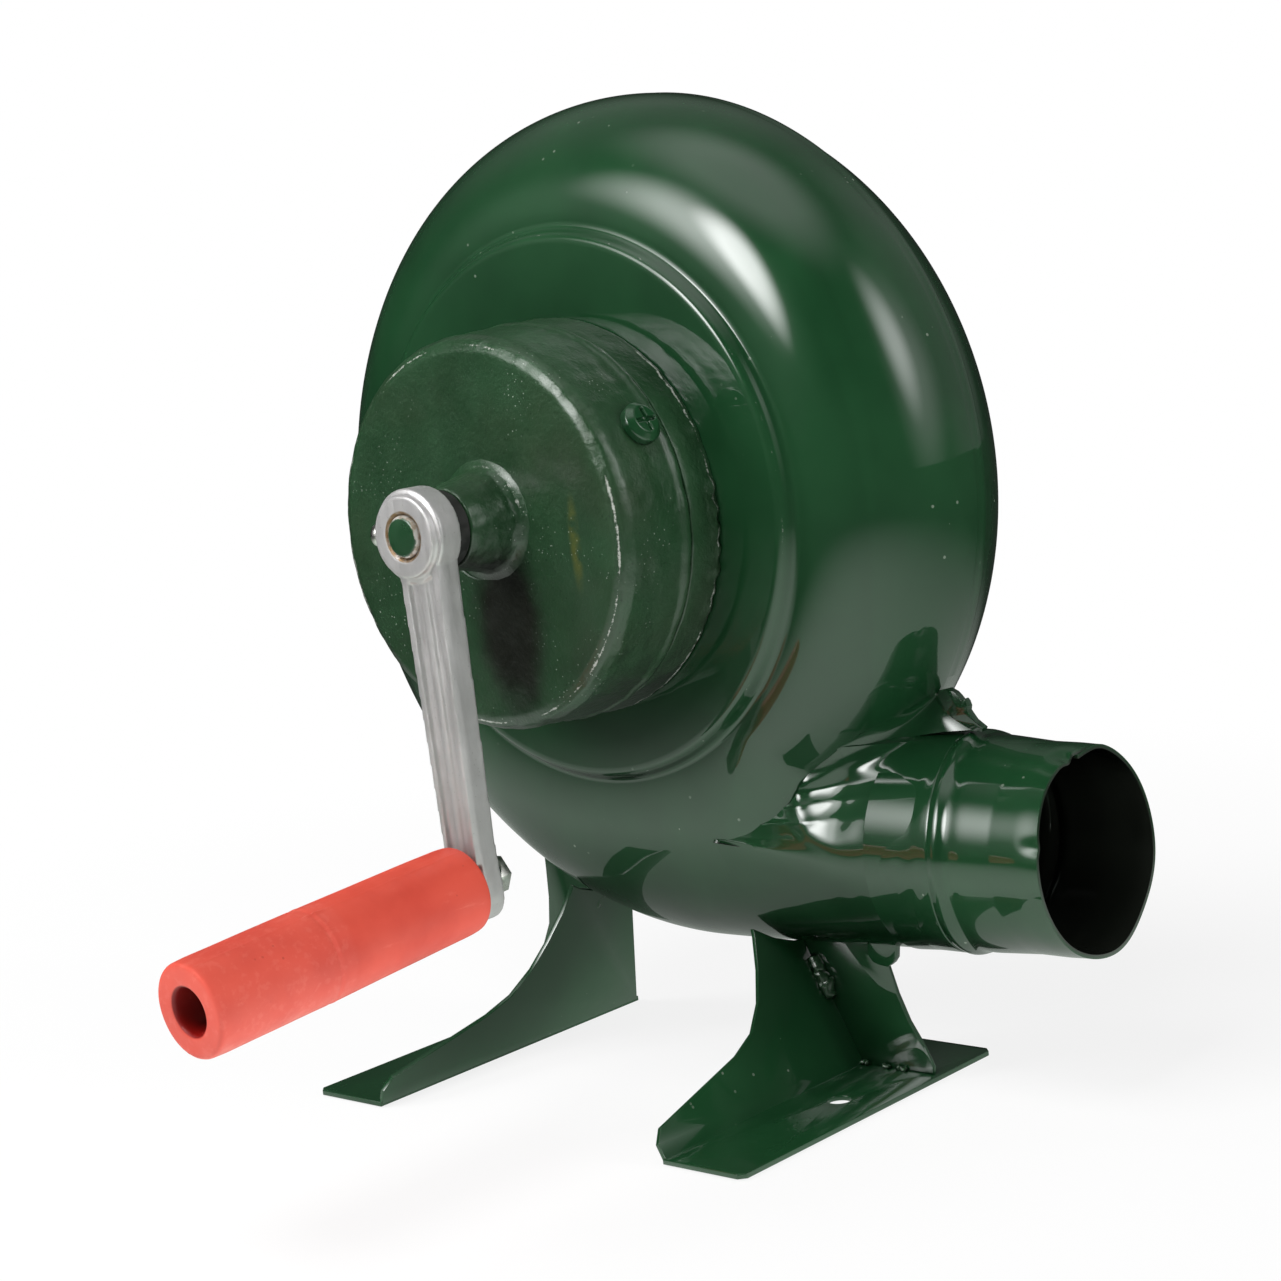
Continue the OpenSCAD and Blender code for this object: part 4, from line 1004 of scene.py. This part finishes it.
# Studio
def white_floor():
    """A wide pale floor. Near the object part of its white is its own light, so that shadows
    stay soft; further out it is plain white, and polished paint sees it end in the dark. In
    the paint's reflections it is a painted pool of light with a painted shadow right under
    the casing, faintly green; for bounced light it glows at 1.9, a painted glow from below."""
    half = 6.0
    mesh = bpy.data.meshes.new("studio_floor")
    mesh.from_pydata([(-half, -half, 0), (half, -half, 0), (half, half, 0), (-half, half, 0)], [],
                     [(0, 1, 2, 3)])
    floor = linked("studio_floor", mesh)
    floor.location.z = -0.0004
    material = bpy.data.materials.new("studio_floor")
    f = Nodes(material, empty=True)
    path = f.add("ShaderNodeLightPath").outputs
    glossy, bounced = path["Is Glossy Ray"], path["Is Diffuse Ray"]

    own = f.math("MULTIPLY", path["Is Camera Ray"], f.step(f.length(f.place), 0.20, 0.55, 0.84, 1.0))
    own = f.math("MAXIMUM", f.math("MAXIMUM", own, bounced), glossy)
    # Painted pool of light that only the paint's reflections see: brightest about a point in front of the
    # object and to its right, fading to nearly dark 0.74 m from it.
    painted_light_pool = f.step(f.far_from((0.13, -0.16, 0.0), (1.0, 1.0, None)), 0.0, 0.74, 1.55, 0.03)
    # Painted shadow that only the paint's reflections see: the floor is darker right under the casing.
    under = f.step(f.far_from((-0.04, 0.07, 0.0), (0.22, 0.16, None)), 0.45, 1.2, 0.36, 1.0)
    mirrored = f.math("MULTIPLY", f.math("MULTIPLY", painted_light_pool, under), glossy)
    # The camera sees the floor at 1; for bounced light it glows at 1.9, a painted glow that lights the
    # object from below.
    backdrop_and_bounce_glow = f.math("ADD", f.math("SUBTRACT", 1.0, glossy), f.math("MULTIPLY", bounced, 0.9))
    # Painted reflection colour: the paint sees the floor faintly green.
    painted_reflection_tint = f.add("ShaderNodeCombineColor", {
        k: f.math("SUBTRACT", 1.0, f.math("MULTIPLY", glossy, less))
        for k, less in enumerate((0.10, 0.0, 0.09))})
    matt = f.add("ShaderNodeBsdfDiffuse", {"Color": (0.82, 0.82, 0.82, 1)})
    lit = f.add("ShaderNodeEmission", {"Color": painted_reflection_tint.outputs[0],
                                       "Strength": f.math("ADD", backdrop_and_bounce_glow, mirrored)})
    mixed = f.add("ShaderNodeMixShader", {0: own, 1: matt.outputs[0], 2: lit.outputs[0]})
    f.add("ShaderNodeOutputMaterial", {0: mixed.outputs[0]})
    mesh.materials.append(material)


# What polished paint sees of the studio: azimuth from straight ahead, height, half width and
# half height in degrees, the share of them that is full, and the strength.
PATCHES = (("window", -5, 32, 14, 19.5, 0.3, 13.5), ("window_side", -18, 32, 28, 24.5, 0.1, 8.0),
           ("window_glow", -34, 20, 40, 28, 0.2, 0.35), ("right_lamp", 95, 30, 14, 24, 0.1, 4.6),
           ("right_tail", 101, 22, 26, 38, 0.1, 1.6), ("ceiling", 20, 80, 40, 34, 0.35, 1.4),
           ("left_wall", -125, 56, 80, 42, 0.3, 0.2), ("right_wall", 145, 25, 40, 50, 0.5, 0.30))


def studio_world():
    """White behind the object, a dim grey studio for its fill light, and for reflections a
    dark room with soft-edged patches of light."""
    world = bpy.data.worlds.new("studio")
    bpy.context.scene.world = world
    w = Nodes(world, "Generated", empty=True)
    total = 0.02
    for name, azimuth, height, wide, tall, full, strength in PATCHES:
        a, h = math.radians(azimuth), math.radians(height)
        size = (math.sin(math.radians(wide)), 1e4, math.sin(math.radians(tall)))
        turned = w.add("ShaderNodeMapping", {"Vector": w.place, "Rotation": (h, 0.0, a + math.pi),
                                             "Scale": size}, vector_type="TEXTURE", label=name)
        middle = (math.sin(a) * math.cos(h), -math.cos(a) * math.cos(h), math.sin(h))
        facing = w.add("ShaderNodeVectorMath", {0: w.place, 1: middle}, operation="DOT_PRODUCT")
        front = w.math("GREATER_THAN", facing.outputs["Value"], 0.0)
        patch = w.step(w.length(turned.outputs[0]), 1.0, full, 0.0,
                       w.math("MULTIPLY", strength, front))
        total = w.math("ADD", patch, total)

    def light(strength):
        return w.add("ShaderNodeBackground", {"Color": (1, 1, 1, 1), "Strength": strength}).outputs[0]

    path = w.add("ShaderNodeLightPath").outputs
    room = w.add("ShaderNodeMixShader", {0: path["Is Glossy Ray"], 1: light(0.17), 2: light(total)})
    seen = w.math("MAXIMUM", path["Is Camera Ray"], path["Is Transmission Ray"])
    whole = w.add("ShaderNodeMixShader", {0: seen, 1: room.outputs[0], 2: light(1.0)})
    w.add("ShaderNodeOutputWorld", {0: whole.outputs[0]})


def soft_box(name, way, distance, size, power):
    """A rectangular lamp that faces the middle of the object from direction way."""
    lamp = bpy.data.lights.new(name, "AREA")
    lamp.shape = "RECTANGLE"
    lamp.size, lamp.size_y = size
    lamp.energy = power
    holder = linked(name, lamp)
    way = np.array(way, float) / np.linalg.norm(way)
    side = np.cross([0, 0, 1], way)
    side /= np.linalg.norm(side)
    stand(holder, np.array([0.0, 0.0, 0.15]) + way * distance, side, np.cross(way, side), way)
    holder.visible_glossy = False


white_floor()
studio_world()
soft_box("top_box", (-0.07, -0.47, 0.88), 1.3, (0.75, 0.5), 14)
soft_box("left_box", (-0.667, -0.60, 0.445), 1.5, (0.6, 0.6), 15)
soft_box("right_box", (0.92, 0.29, 0.27), 1.3, (0.22, 0.8), 6)

bpy.context.scene.view_settings.view_transform = "Standard"
